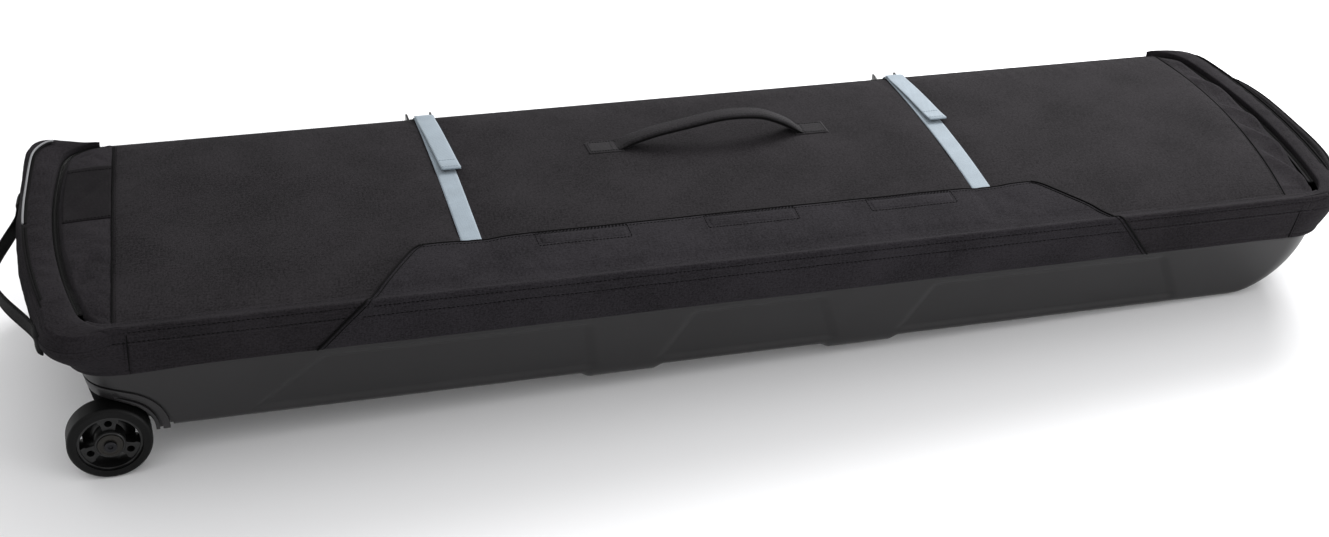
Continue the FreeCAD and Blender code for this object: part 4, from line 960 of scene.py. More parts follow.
def hinge_cloth():
    """The cloth that runs from the near wall over the fold onto the lid, and its stitches."""
    xs = wall_plan(60.0)[0][:, 0]
    order = [i for i in stretch("corner_nn", "corner_nw") if HINGE_SPAN[0] <= xs[i] <= HINGE_SPAN[1]]
    rows = []
    for z in (44.0, 46.4, 47.4, 48.0, 48.6, 49.6, 52.0, 54.5, 57.0, 59.5, 62.4, 63.4, 64.0, 64.6, 65.6, 67.0):
        pts, nrm, _ = wall_plan(min(z, SHOULDER))
        off = 0.15 if z < 45 else -0.1 if on_stitch(z) else 0.55
        p = pts[order]
        push = off + wall_push(p[:, 0], p[:, 1], np.full(len(p), z)) * (1 - float(smooth(56, 66, z)))
        rows.append(at_height(p + nrm[order] * push[:, None], z))
    pts, nrm, _ = wall_plan(SHOULDER)
    edge, n, r = pts[order], nrm[order], 5.0
    for a in np.radians((25, 50, 72, 90)):
        rows.append(at_height(edge + n * (0.55 - r + r * math.cos(a)), 67.0 + r * math.sin(a) * 0.66))
    for d in (3.0, 7.0, 11.0, 14.0, 16.0):
        p = edge + n * (0.55 - r) - n * d
        z = np.maximum(lid_height(p[:, 0], p[:, 1]) + 0.8, 0)
        z = 70.3 * (1 - min(1, d / 11)) + z * min(1, d / 11)
        rows.append(at_height(p, z - 1.2 if d == 16.0 else z))
    top = np.array(rows)
    # The cloth is thin: the back face is a copy drawn in towards the bag.
    back = top.copy()
    d = np.array([-190.0, 40.0]) - top[..., 1:]
    back[..., 1:] += d / np.linalg.norm(d, axis=2)[..., None] * 0.8
    # Past the straight fold the cloth parts: the wall keeps its side, the lid keeps its own.
    turned, roll = int(np.argmax(top[18, :, 0] < HINGE_STRAIGHT)), 20
    uv = sheet_uv(top).reshape(top.shape[:2] + (2,))

    def piece(name, r, c):
        part_uv = uv[r, c].reshape(-1, 2)
        return make(name, *closed_sheet(top[r, c], back[r, c]), M["wall"], uvs=np.concatenate([part_uv, part_uv]))

    obj = piece("hinge_cloth", slice(None), slice(turned, None))
    ride(piece("corner_cloth_wall", slice(0, roll), slice(0, turned + 1)), "base")
    ride(piece("corner_cloth_lid", slice(roll - 1, None), slice(0, turned + 1)), "lid")
    blend_over_hinge(ride(obj, None))
    for z in STITCH_Z:
        blend_over_hinge(wall_thread("hinge_stitches_%d" % z, order, z, None, 0.7))
        if z == STITCH_Z[-1]:
            wall_thread("wall_stitches_%d" % z, stretch("corner_nw", "corner_nn"), z, "base", 0.2)


def blend_over_hinge(obj):
    """Bakes a piece's placement into its mesh."""
    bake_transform(obj)


# ------------------------------------------------------------------ cover flap
FLAP_FOOT = level_box("cover_flap_side")[1][0]
FLAP_TOP_X = 417.0
FLAP_EDGE_Y = level_box("cover_flap_top")[1][1]
GRIPS = ((-269, -150), (-49, 73), (172, 292))


def flap_profile():
    """Points (y, z) of the flap's outside from its foot over the fold to its top edge."""
    pts = []
    for z in (1.0, 2.5, 5, 9, 14, 20, 26, 32, 38, 43, 46.4, 47.4, 48.0, 48.6, 49.6, 52, 55, 58, 61, 62.6, 63.5,
              64.0, 64.5, 65.5, 67.0):
        off = 1.2 if z < 2 else 1.25 if on_stitch(z) else 1.9
        pts.append((-(wall_half(z)[1] + off), z))
    r = 6.0
    y0 = pts[-1][0] + r
    for a in np.radians((22, 44, 66, 88)):
        pts.append((y0 - r * math.cos(a), 67.0 + r * 0.75 * math.sin(a)))
    y = y0 + 4
    while y < FLAP_EDGE_Y + 0.01:
        pts.append((y, float(crown(y)) + 2.5))
        y += 4.0
    pts.append((FLAP_EDGE_Y, float(crown(FLAP_EDGE_Y)) + 2.2))
    return np.array(pts)


def flap_surface(prof, run, cols=260):
    """The flap's outside: slanted sides, rounded corners, and the wall's and the lid's unevenness."""
    rows, rounding = [], 14.0
    for (y, z), at in zip(prof, run):
        half = FLAP_FOOT + (FLAP_TOP_X - FLAP_FOOT) * (at / run[-1])
        left = run[-1] - at
        if left < rounding:
            half -= rounding * 0.55 * (1 - math.sqrt(max(0, 1 - ((rounding - left) / rounding) ** 2)))
        xs, ys = np.linspace(-half, half, cols), np.full(cols, y)
        lift = out = np.zeros(cols)
        if y > -205:
            lift = (lid_height(xs, ys) - float(crown(y))) * smooth(-205, -190, y)
            lift = lift + 0.7 * roughs(xs, ys, 55, 11.0) * smooth(-205, -170, y)
            for mid in STRAP_MID.values():
                lift += 1.5 * np.exp(-((xs - mid) / 15.0) ** 4) * smooth(-190, -165, y)
        else:
            out = wall_push(xs, ys, np.full(cols, z)) * (1 - float(smooth(56, 66, z)))
        rows.append(np.column_stack([xs, ys - out, z + lift]))
    return np.array(rows)


def flap_top(x, y):
    """The flap's outside height over the lid."""
    x, y = np.broadcast_arrays(np.asarray(x, float), np.asarray(y, float))
    lift = lid_height(x, y) - crown(y) + 0.7 * roughs(x, y, 55, 11.0)
    for mid in STRAP_MID.values():
        lift = lift + 1.5 * np.exp(-((x - mid) / 15.0) ** 4)
    return crown(y) + 2.5 + lift


def cover_flap():
    """The tapered flap over the sewn edge, with its bindings and stitches."""
    prof = flap_profile()
    run = run_of(prof)
    top = flap_surface(prof, run)
    t = np.gradient(prof, axis=0)
    t /= np.linalg.norm(t, axis=1)[:, None]
    back = top.copy()
    back[..., 1] += t[:, None, 1]
    back[..., 2] -= t[:, None, 0]
    obj = cloth("cover_flap", top, back, "flap")
    # Corded binding down both slanted edges, and a narrow one along the top edge.
    cords = []
    for col, sx in ((0, -1), (-1, 1)):
        edge = top[:, col]
        cords.append(tube_parts(resample(edge + (sx * 0.6, 0, 0.2), 4), 1.5, 8, up=(1, 0, 0)))
        cords.append(tube_parts(resample(edge + (-sx * 5.5, 0, 0.1), 4), 0.75, 6, up=(1, 0, 0)))
    cords.append(tube_parts(resample(top[-1] + (0, 0.2, 0.1), 4), 1.15, 8))
    cord = put("cover_flap_binding", cords, "cord", None)
    # Topstitch inside the bindings and on the fold lines.
    threads = stitch_parts(top[-3] + UP * 0.1, length=3.0, gap=1.6, radius=0.4)
    for z in STITCH_Z:
        row = int(np.argmin(np.abs(prof[:26, 1] - z)))
        threads += stitch_parts(top[row][4:-4] + (0, -0.3, 0), (0, -1, 0), length=3.4, gap=2.2, radius=0.5)
    thread = put("cover_flap_stitches", threads, "thread", None)
    ride(obj, None, "cover_flap_side", "cover_flap_top")
    for o in (obj, cord, thread):
        blend_over_hinge(o)


def grip_boxes():
    """The three stitched boxes just inside the flap's top edge, over the grip patches."""
    threads, pads = [], []
    y1, y0 = FLAP_EDGE_Y - 2.5, FLAP_EDGE_Y - 29
    for x0, x1 in GRIPS:
        ring = []
        for a, b in (((x0, y0), (x1, y0)), ((x1, y0), (x1, y1)), ((x1, y1), (x0, y1)), ((x0, y1), (x0, y0))):
            ring += [(a[0] + (b[0] - a[0]) * k, a[1] + (b[1] - a[1]) * k) for k in np.linspace(0, 1, 16)[:-1]]
        ring = np.array(ring + ring[:1])
        threads += stitch_parts(at_height(ring, flap_top(ring[:, 0], ring[:, 1]) + 0.25), length=3.0, gap=1.5,
                                radius=0.5)
        gx, gy, edge = plan_grid(x0 + 2, x1 - 2, 24, y0 + 2, y1 - 2, 8)
        top = np.stack([gx, gy, flap_top(gx, gy) + 0.75 * smooth(0, 5, edge) - 0.3], axis=2)
        pads.append(closed_sheet(top, top - 1.4 * UP))
    put("flap_grip_pads", pads, "flap", "lid", "flap_grip_patches", uv_axes=[0, 1])
    put("flap_grip_stitches", threads, "thread", "lid")


# ------------------------------------------------------------------ straps and buckles
def ribbon(centre, across, normal, width, thick):
    """A flat strap along a centre line with softly rounded edges, as vertices, faces and uvs."""
    u, d = np.linspace(-1, 1, 11), run_of(centre)
    profile = [(s, thick / 2 * (1 - 0.35 * abs(s) ** 6)) for s in u]
    profile += [(s, -h) for s, h in profile[::-1]]
    verts, uvs = [], []
    for i, c in enumerate(centre):
        for s, h in profile:
            verts.append(c + across * s * width / 2 + normal[i] * h)
            uvs.append((s * width / 2, d[i]))
    return np.array(verts), tube_faces(len(centre), len(profile)), np.array(uvs)


def compression_strap(end, lean, tail_y):
    """A strap over the lid, whose free tail comes back from the buckle and lies on it."""
    width = float(STRAP_BOX[end][1][0] - STRAP_BOX[end][0][0])
    over, across = 1.35, np.array([1.0, 0, 0])

    def at(y):
        return STRAP_MID[end] + lean * (y - 20) * 0.5

    def top_at(y):
        return float(lid_height(at(y), y)) + over

    top_z = top_at(206)
    pts = [(at(y), y, top_at(y)) for y in np.linspace(-176, 196, 86)]
    # Over the far edge and down to the buckle's bar.
    for y, dz in ((203, 0.2), (209, 0.0), (215, -1.0), (220, -3.0), (223.2, -6.4), (224.2, -10.0)):
        pts.append((at(y), y, top_z + dz))
    main = resample(pts, 4)
    tail = [(at(y) + 1.0, y, top_z - max(0, (y - 209)) * 0.33 + dz)
            for y, dz in ((222.5, 2.2), (218.5, 3.1), (212, 3.2))]
    for y in np.linspace(202, tail_y, 36):
        k = (202 - y) / (202 - tail_y)
        lift = 2.6 + 2.6 * math.sin(math.pi * min(1, k * 1.15)) * 0.6 + 5.0 * k ** 3
        tail.append((at(y) + 1.0 + 5.5 * k, y, top_at(y) + lift - 1.0))
    tail = resample(tail, 4)
    tn = path_normals(tail, across, UP)
    webs = [ribbon(main, across, path_normals(main, across, UP), width, 1.5), ribbon(tail, across, tn, width, 1.5)]
    # The tail's end is folded back on itself and sewn: a second layer under the last 30 mm.
    webs.append(ribbon(tail[-7:] - tn[-7:] * 1.7, across, tn[-7:], width * 0.99, 1.5))
    edge = [tail[-1] + across * s * width / 2 * 0.985 - tn[-1] * 0.85 for s in np.linspace(-1, 1, 9)]
    lip = tube_parts(edge, 1.55)
    put("compression_strap_" + end + "_web", webs + [lip], "strap", "lid", "compression_strap_" + end,
        slot="grey_webbing", uvs=np.concatenate([web[2] for web in webs] + [lip[0][:, :2]]))
    rows = []
    for back in (5.0, 24.0):
        i = len(tail) - 1 - int(round(back / 4))
        row = np.array([tail[i] + across * s * (width / 2 - 2) + tn[i] * 0.75 for s in np.linspace(-1, 1, 7)])
        rows += stitch_parts(row, tn[i], length=2.4, gap=1.2)
    put("strap_stitches_" + end, rows, "strap_thread", "lid", slot="grey_webbing")


# ------------------------------------------------------------------ zip
# A coil tooth's corners and faces, in half lengths, widths and heights.
TOOTH = ((-1, -1, -1), (1, -1, -1), (1, 1, -1), (-1, 1, -1), (-1, -1, 0.4), (1, -1, 0.4), (1, 1, 0.4),
         (-1, 1, 0.4), (-0.6, 0, 1), (0.6, 0, 1))
TOOTH_FACES = [(3, 2, 1, 0), (0, 1, 5, 4), (1, 2, 6, 5), (2, 3, 7, 6), (3, 0, 4, 7), (4, 5, 9, 8), (6, 7, 8, 9),
               (5, 6, 9), (7, 4, 8)]


def zip_parts():
    """The zip's two tapes and two rows of teeth, from the near wheel corner round the far side."""
    order = [i for i in stretch("corner_nw", "corner_nn") if not LID_PLAN[0][i, 1] < -176]
    lid_p, groove = LID_PLAN[0][order], GROOVE_PLAN[0][order]
    # In the end grooves the coil lies deep; along the far side it stands at the edge.
    base_z = 61.5 - smooth(150, 205, lid_p[:, 1])
    mid = lid_p * 0.45 + groove * 0.55

    def tape(edge, steps):
        return np.array([at_height(mid + (edge - mid) * k, base_z + dz) for k, dz in steps])

    outer = tape(groove, ((1.35, 1.2), (1.0, 0.4), (0.6, 0.0), (0.3, 0.0)))
    # The strip that stands along the far edge, between the wall's top and the coil.
    strip = wall_grid(stretch("far_stub_w", "far_stub_n"),
                      ((45.0, -0.6), (48.0, 0.35), (51.0, 0.55), (54.0, 0.5), (57.0, 0.4), (59.6, 0.1),
                       (61.2, -1.2), (61.6, -3.0), (60.8, -4.6)))
    back = strip.copy()
    back[..., 1] -= 1.6
    back[..., 2] -= 0.6 * smooth(58, 61, strip[..., 2])
    put("zip_tape_outer", [closed_sheet(outer, outer - UP), closed_sheet(strip, back)], "tape", "base",
        "zip_tape_wall", uvs=np.concatenate([sheet_uv(outer)] * 2 + [sheet_uv(strip)] * 2))
    inner = tape(lid_p, ((1.3, 1.0), (0.8, 0.4), (0.45, 0.1), (0.2, 0.0)))
    ride(cloth("zip_tape_inner", inner, inner - UP, "tape"), "lid", "zip_tape_lid")
    fine = resample(at_height(mid, base_z + 0.9), 1.55)
    t = np.gradient(fine, axis=0)
    t /= np.linalg.norm(t, axis=1)[:, None]
    side = np.cross(t, UP)
    inward = side if side[len(side) // 2][1] < 0 else -side
    for name, body, sign, phase in (("zip_coil_outer", "base", -1, 0), ("zip_coil_inner", "lid", 1, 1)):
        teeth = []
        for i in range(phase, len(fine), 2):
            b = fine[i] + inward[i] * 2.3 * sign
            a = fine[i] - inward[i] * 0.5 * sign
            length = np.linalg.norm(b - a)
            along, wide, high = (b - a) / length * (length / 2), t[i] * 0.52, UP * 0.75
            teeth.append(([(a + b) / 2 + along * x + wide * y + high * z for x, y, z in TOOTH], TOOTH_FACES))
        put(name, teeth, "coil", body, smooth_on=False)


# ------------------------------------------------------------------ piping
def piping(name, sign, mat, nodes, slot, y_low, y_high):
    """A length of piping sewn in along the outer edge of an end's shoulder, and its flange."""
    order = stretch(*(("corner_nw", "corner_fw") if sign < 0 else ("corner_fn", "corner_nn")))
    pts, nrm, _ = wall_plan(SHOULDER)
    n = nrm[order]
    p = pts[order] + n * (np.abs(n[:, 0]) * (15.0 if sign < 0 else 1.5) - 3.0)[:, None]
    keep = (p[:, 1] > y_low) & (p[:, 1] < y_high)
    p, n = p[keep], n[keep]
    y = p[:, 1]
    z = SHOULDER + 2.4 - 3.6 * (1 - smooth(-168, -140, y)) - 3.6 * smooth(190, 206, y) * (sign > 0)
    if sign < 0:
        z = z + collar(p[:, 0], y)
    path = resample(at_height(p, z), 4)
    uv = np.column_stack([np.tile(np.arange(10) * 1.2, len(path)), np.repeat(np.arange(len(path)) * 4.0, 10)])
    put(name, [tube_parts(path, 1.35, 10)], mat, "base", *nodes, slot=slot, uvs=uv)
    flange = [resample(at_height(p - n * d, z - dz), 4) for d, dz in ((0.6, 0.8), (3.0, 0.9), (5.2, 0.4))]
    top = np.array([row[:min(len(q) for q in flange)] for row in flange])
    ride(cloth(name + "_flange", top, top - 0.8 * UP, "cord"), "base")


# ------------------------------------------------------------------ handles
def padded_strap(path, across, up, width, thick, roundness):
    """A padded strap: a flattened tube with a fuller middle and sewn, thinner edges."""
    n, ring = len(path), 20
    a = np.linspace(0, 2 * np.pi, ring, endpoint=False)
    width = np.broadcast_to(np.asarray(width, float), (n,))[:, None, None]
    s = np.sign(np.cos(a)) * np.abs(np.cos(a)) ** roundness
    h = np.sign(np.sin(a)) * np.abs(np.sin(a)) ** 0.8
    verts = (path[:, None, :] + across * (s[None, :, None] * width / 2)
             + up[:, None, :] * (h[None, :, None] * thick[:, None, None] / 2))
    along = np.repeat(run_of(path)[:, None], ring, axis=1)
    uv = np.stack([np.broadcast_to(s[None, :] * 12.0, (n, ring)), along], axis=2)
    return verts.reshape(-1, 3), tube_faces(n, ring), uv.reshape(-1, 2)


def curve_through(knots, steps):
    """Points of a smooth curve through (x, z) knots."""
    k = np.array([knots[0]] + list(knots) + [knots[-1]], float)
    out = []
    for p0, p1, p2, p3 in zip(k, k[1:], k[2:], k[3:]):
        for t in np.linspace(0, 1, steps)[:-1]:
            bend = (2 * p0 - 5 * p1 + 4 * p2 - p3) * t * t + (3 * p1 - p0 - 3 * p2 + p3) * t ** 3
            out.append(0.5 * ((2 * p1) + (p2 - p0) * t + bend))
    return out + [k[-1]]


def carry_handle():
    """The padded handle over the lid, its welts and stitches, and its two sewn patches."""
    lo, hi = level_box("carry_handle")
    y_mid = (lo[1] + hi[1]) / 2
    base_z, peak = float(crown(y_mid)) + 1.6, hi[2] - 4.5
    rise = ((-136, 0.8), (-118, 1.2), (-104, 4.5), (-84, 12), (-55, 20), (-15, 27))
    fall = ((118, 22), (136, 12), (149, 4.5), (160, 1.2), (174, 0.8))
    knots = [(x, base_z + dz) for x, dz in rise] + [(30, peak - 1.0), (62, peak), (92, peak - 3.5)]
    knots += [(x, base_z + dz) for x, dz in fall]
    path = resample([(x, y_mid, z) for x, z in curve_through(knots, 12)], 3.5)
    across = np.array([0, 1.0, 0])
    up = path_normals(path, across, UP)
    body = smooth(-118, -88, path[:, 0]) * (1 - smooth(132, 156, path[:, 0]))
    width, thick = 27 - 3.5 * body, 2.2 + 6.4 * body
    v, f, uv = padded_strap(path, across, up, width, thick, 0.42)
    arch = put("carry_handle_arch", [(v, f)], "handle", None, "carry_handle", uvs=uv)
    # Welted edges along both sides and a seam of stitches inside each.
    welts, threads = [], []
    for s in (-1, 1):
        edge = path + across * (s * (width[:, None] / 2 - 0.2)) + up * 0.3
        welts.append(tube_parts(edge, 1.0 + 0.5 * body, 8, up=(0, 1, 0.1)))
        line = path + across * (s * (width[:, None] / 2 - 4.2)) + up * (thick[:, None] * 0.44)
        threads += stitch_parts(line, up, length=2.8, gap=1.5, radius=0.38)
    welt = put("carry_handle_welts", welts, "cord", None)
    thread = put("carry_handle_stitches", threads, "thread", None)
    for o in (arch, welt, thread):
        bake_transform(o)
    # The two sewn anchor patches, each with a box of stitches and a line near the handle's end.
    lo, hi = level_box("handle_patches")
    y0, y1, inset = lo[1] + 8, hi[1] - 8, 3.6
    patches, rows = [], []
    for x0, x1 in ((lo[0] - 3, lo[0] + 46), (hi[0] - 46, hi[0] + 3)):
        gx, gy, edge = plan_grid(x0, x1, 22, y0, y1, 18)
        gz = lid_height(gx, gy) + 0.35 + 1.5 * smooth(0, 2.5, edge) - 0.5 * np.exp(-((edge - inset) / 0.9) ** 2)
        patches.append(closed_sheet(np.stack([gx, gy, gz], axis=2),
                                    np.stack([gx, gy, lid_height(gx, gy) - 0.5], axis=2)))
        a, b, c, d = x0 + inset, x1 - inset, y0 + inset, y1 - inset
        inner_x = x1 - 15 if x0 < 0 else x0 + 15
        for line in ([(a, c), (b, c), (b, d), (a, d), (a, c)], [(inner_x, c), (inner_x, d)]):
            pts = resample([(x, y, 0) for x, y in line], 3)
            pts[:, 2] = lid_height(pts[:, 0], pts[:, 1]) + 1.7
            rows += stitch_parts(pts, length=2.6, gap=1.2)
    put("handle_anchor_patches", patches, "handle", "lid", "handle_patches", uv_axes=[0, 1])
    put("handle_anchor_stitches", rows, "thread", "lid")


def end_wall_x(y, z, sign):
    """How far out the end wall's cloth stands at a place."""
    y, z = np.broadcast_arrays(np.asarray(y, float), np.asarray(z, float))
    reach, half = wall_half(z)
    r, half = WALL_CORNER, half - WALL_CORNER
    straight = reach - BOW + np.sqrt(BOW ** 2 - y ** 2)
    past = np.clip(np.abs(y) - half, 0, r - 0.5)
    corner = reach - BOW + np.sqrt((BOW - r) ** 2 - half ** 2) + np.sqrt(r ** 2 - past ** 2)
    on_bow = np.abs(y) < half / (BOW - r) * BOW
    ny = np.where(on_bow, np.abs(y) / BOW, past / r)
    nx = np.sqrt(np.clip(1 - ny ** 2, 0, 1))
    return np.where(on_bow, straight, corner) + end_push(sign, nx, ny, z)


def end_loop(name, sign, mat, padded_loop):
    """A loop handle at one end, blended into the wall at its sewn ends, and its tabs."""
    lo, hi = level_box(name)
    z = (lo[2] + hi[2]) / 2
    pivot_x = lo[0] if sign > 0 else hi[0]
    far = abs(pivot_x) + (hi[0] - lo[0]) - (6 if padded_loop else 13)
    y0, y1 = lo[1] - 4, hi[1] + 4
    mid, half = ((y0 + y1) / 2, (y1 - y0) / 2) if padded_loop else (-38.0, 124.0)
    pts = []
    for y in np.linspace(y0, y1, 90):
        q = min(1, abs((y - mid) / half))
        bulge = (1 - q ** 3.2) ** 0.9 if padded_loop else max(0, math.cos(q * math.pi / 2)) ** 1.5
        wall_here = float(end_wall_x(y, z, sign)) + 1.8
        pts.append((sign * (wall_here + max(0.0, far - wall_here) * bulge), y, z))
    # Both ends run back onto the wall under their sewn tabs.
    for side, y_end in ((-1, y0), (1, y1)):
        extra = []
        for k in (1.0, 0.66, 0.33):
            y = y_end * (1 - k) + (y_end + side * 12) * k
            on_wall = sign * (float(end_wall_x(y, z, sign)) + 2.2)
            extra.append((on_wall * k + pts[0 if side < 0 else -1][0] * (1 - k), y, z))
        pts = extra + pts if side < 0 else pts + extra[::-1]
    path = resample(pts, 4)
    across = UP
    out = path_normals(path, across, (sign, 0, 0))
    slot = "black_fabric" if padded_loop else "black_webbing"
    if padded_loop:
        full = 1 - smooth(0.72, 0.95, np.abs((path[:, 1] - mid) / half))
        v, f, uv = padded_strap(path, across, out, 26, 3.0 + 8.5 * full, 0.5)
        thread_at, thread_out = 8.2, 1.5 + 4.1 * full[:, None]
    else:
        v, f, uv = ribbon(path, across, out, 25.0, 2.4)
        thread_at, thread_out = 9.5, 1.2
    loop = put(name + "_loop", [(v, f)], mat, None, name, slot=slot, uvs=uv)
    objs = [loop]
    if padded_loop:
        welts = [tube_parts(path + across * s * 12.6, 1.3, 8, up=(1, 0, 0)) for s in (-1, 1)]
        objs.append(put(name + "_welts", welts, "cord", None, slot=slot))
    rows = []
    for s in (-1, 1):
        line = path + across * s * thread_at + out * thread_out
        rows += stitch_parts(line, out, length=2.8, gap=1.6, radius=0.4)
    objs.append(put(name + "_stitches", rows, "thread", None, slot=slot))
    for o in objs:
        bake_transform(o)
    # Sewn tabs at both ends, wrapped on the wall.
    lo, hi = level_box(name + "_tabs")
    tabs = []
    for ya, yb in ((lo[1] - 2, lo[1] + 26), (hi[1] - 26, hi[1] + 2)):
        gy, gz, edge = plan_grid(ya, yb, 16, lo[2] - 1, hi[2] + 1, 16)
        wall_x = end_wall_x(gy, gz, sign)
        puff = 1.2 + 2.6 * smooth(0, 4, edge) - 0.8 * np.exp(-((edge - 4.2) / 1.0) ** 2)
        tabs.append(closed_sheet(np.stack([sign * (wall_x + puff), gy, gz], axis=2),
                                 np.stack([sign * (wall_x - 2.0), gy, gz], axis=2)))
    put(name + "_tab_patches", tabs, "black_web", "base", name + "_tabs", slot="black_webbing", uv_axes=[1, 2])


# ------------------------------------------------------------------ tray
# Each pressed panel's ends along its top and along its foot, as x.
PANELS = (((-543, -215), (-625, -201)), ((-77, 96), (-114, 127)), ((253, 588), (217, 627)))
PANEL_TOP, PANEL_BOTTOM = 16.0, 92.0
WELL_R, LINED_R = 76.4, 72.7
SHELL = 3.5
FOOT_Z, FOOT_R = -98.0, 13.0


def tray_side(z):
    """Half the tray's outer width at a height."""
    return 203.0 - 22.0 * min(max(-z / TRAY_DEPTH, 0), 1)


def tray_plan(z, inset=0.0):
    """The tray's outline at a height, with its curved nose and leaning sides."""
    share = min(max(-z / TRAY_DEPTH, 0), 1)
    curve = math.sqrt(max(0.0, 1 - (max(-z, 0) / (TRAY_DEPTH - inset)) ** 2))
    high = 744.0 + (102.0 - inset) * curve
    low = inset - 844.0 + 26.0 * share
    return plan(low, high, tray_side(z) - inset, 56.0 - 10 * share - inset, BOW - inset, seam=690.0)


def tray_ring(z, draw_in=0.0, inset=0.0, floor=-107.9):
    """One row of the tray, drawn in square to its outline."""
    pts, nrm, _ = tray_plan(max(z, floor), inset)
    return at_height(pts - nrm * draw_in, z)


def panel_depth(x, z):
    """How far the side is pressed in at a point."""
    depth = np.zeros_like(x)
    k = (-z - PANEL_TOP) / (PANEL_BOTTOM - PANEL_TOP)
    for (t0, t1), (b0, b1) in PANELS:
        inside = smooth(-8, 8, x - (t0 + (b0 - t0) * k)) * smooth(-8, 8, t1 + (b1 - t1) * k - x)
        depth = np.maximum(depth, inside)
    return depth * smooth(-5, 5, -z - PANEL_TOP) * (1 - smooth(-6, 6, -z - PANEL_BOTTOM))


def wheel_arc(radius, angles):
    """Points (x, z) round over a wheel, from straight above it forwards."""
    return [(WHEEL_X + radius * math.sin(a), WHEEL_Z + radius * math.cos(a)) for a in np.radians(angles)]


def well_tool(name, radius):
    """A block for each wheel well, arched over the wheel and open behind it."""
    wells = []
    for side in (-1, 1):
        prof = [(-890.0, WHEEL_Z + radius)] + wheel_arc(radius, np.linspace(0, 90, 41))
        prof += [(WHEEL_X + radius, -190.0), (-890.0, -190.0)]
        m = len(prof)
        v = [(x, side * y, z) for y in (148.0, 260.0) for x, z in prof]
        f = [(i, (i + 1) % m, m + (i + 1) % m, m + i) for i in range(m)]
        wells.append((v, f + [tuple(range(m))[::-1], tuple(range(m, 2 * m))]))
    return make(name, *joined(wells), None, smooth_on=False)


def lip_tape():
    """The binding tape that closes the fabric wall onto the tray's lip, all the way round."""
    rows = []
    for z, outside in ((5.0, False), (11.5, False), (12.5, False), (12.5, True), (11.5, True), (5.0, True)):
        pts, nrm, _ = wall_plan(z) if outside else tray_plan(z, 1.2)
        rows.append(at_height(pts - nrm * (4.2 if outside else 0.0), z - (1.0 if z > 12 else 0.0)))
    rows = np.array(rows)
    put("lip_tape", [(rows, ring_faces(*rows.shape[:2]))], "wall", "base", uvs=sheet_uv(rows))


def floor_rings(last, steps):
    """Rings that carry an outline in to the floor's long middle line."""
    return [last * (1 - 0.24 * k, 1 - k, 1) for k in steps]


def tray():
    """The moulded tray: lip, leaning sides with pressed panels, rounded foot, floor with skids."""
    rows = []
    sides = [14, 13.2, 12, 9, 6, 4, 2.6, 1.2, -0.4, -2, -4, -7] + list(np.arange(-10, FOOT_Z, -3.0)) + [FOOT_Z]
    for z in sides:
        pts, nrm, _ = tray_plan(z)
        # A shallow groove runs round under the lip.
        p = pts + nrm * (-0.9 if -4.5 < z <= 2.6 else 0.0)
        press = panel_depth(p[:, 0], np.full(len(p), float(z))) * 3.6 * (np.abs(nrm[:, 1]) > 0.5)
        rows.append(at_height(p - nrm * press[:, None], z))
    for a in np.radians((18, 36, 54, 72, 90)):
        rows.append(tray_ring(FOOT_Z - 10.0 * math.sin(a), FOOT_R * (1 - math.cos(a))))
    rows += floor_rings(rows[-1], (0.06, 0.14, 0.24, 0.36, 0.5, 0.66, 0.84, 0.97))
    outer = np.array(rows)
    x, y = outer[len(sides):, :, 0], outer[len(sides):, :, 1]
    skid = np.zeros_like(x)
    for mid in (-162.0, 165.0):
        skid = np.maximum(skid, smooth(-56, -42, x - mid) * (1 - smooth(42, 56, x - mid)))
    outer[len(sides):, :, 2] -= skid * smooth(128, 142, np.abs(y)) * (1 - smooth(176, 186, np.abs(y))) * 6.0
    rows = [tray_ring(z, inset=SHELL) for z in [14] + list(np.arange(8, -92, -9.0)) + [-94.4]]
    for a in np.radians((22, 45, 68, 90)):
        rows.append(tray_ring(-94.4 - 10.0 * math.sin(a), 11.0 * (1 - math.cos(a)), SHELL, floor=-104.0))
    inner = np.array(rows + floor_rings(rows[-1], (0.3, 0.7, 0.97)))
    n_out, cols = outer.shape[:2]
    n_in, base = len(inner), n_out * cols
    faces = grid(n_out, cols, wrap=True)
    faces += [tuple(i + base for i in f[::-1]) for f in grid(n_in, cols, wrap=True)]
    faces += [(j, base + j, base + (j + 1) % cols, (j + 1) % cols) for j in range(cols)]
    # The floors close on their own long middle lines.
    half = cols // 2
    for start, step in (((n_out - 1) * cols, 1), (base + (n_in - 1) * cols, -1)):
        ring = list(range(start, start + cols))
        a, b = ring[:half + 1], [ring[0]] + ring[:half - 1:-1]
        for i in range(min(half, len(b) - 1)):
            corners = tuple(dict.fromkeys((a[i], a[i + 1], b[i + 1], b[i])))
            if len(corners) > 2:
                faces.append(corners[::step])
    obj = make("tray_shell", np.concatenate([outer.reshape(-1, 3), inner.reshape(-1, 3)]), faces, M["shell"])
    # The wheel wells are cut right through the corners, and a little wider in the outer skin only.
    skin = 2.5
    core = [tray_ring(z, skin) for z in (30.0, 14.0, -20.0, -50.0, -75.0, FOOT_Z)]
    for a in np.radians((30, 60, 90)):
        row = tray_ring(FOOT_Z - 10.0 * math.sin(a), FOOT_R * (1 - math.cos(a)) + skin * math.cos(a))
        row[:, 2] += skin * math.sin(a)
        core.append(row)
    last = (len(core) - 1) * cols
    ends = [tuple(range(cols)), tuple(last + j for j in range(cols - 1, -1, -1))]
    core = make("tray_core", core, grid(len(core), cols, wrap=True) + ends, None, smooth_on=False)
    cut_with(obj, cut_with(well_tool("well_skin_tool", WELL_R), core))
    cut_with(obj, well_tool("well_tool", LINED_R))
    obj.data.set_sharp_from_angle(angle=math.radians(38))
    ride(obj, "base", "bottom_tray", slot="moulded_plastic")


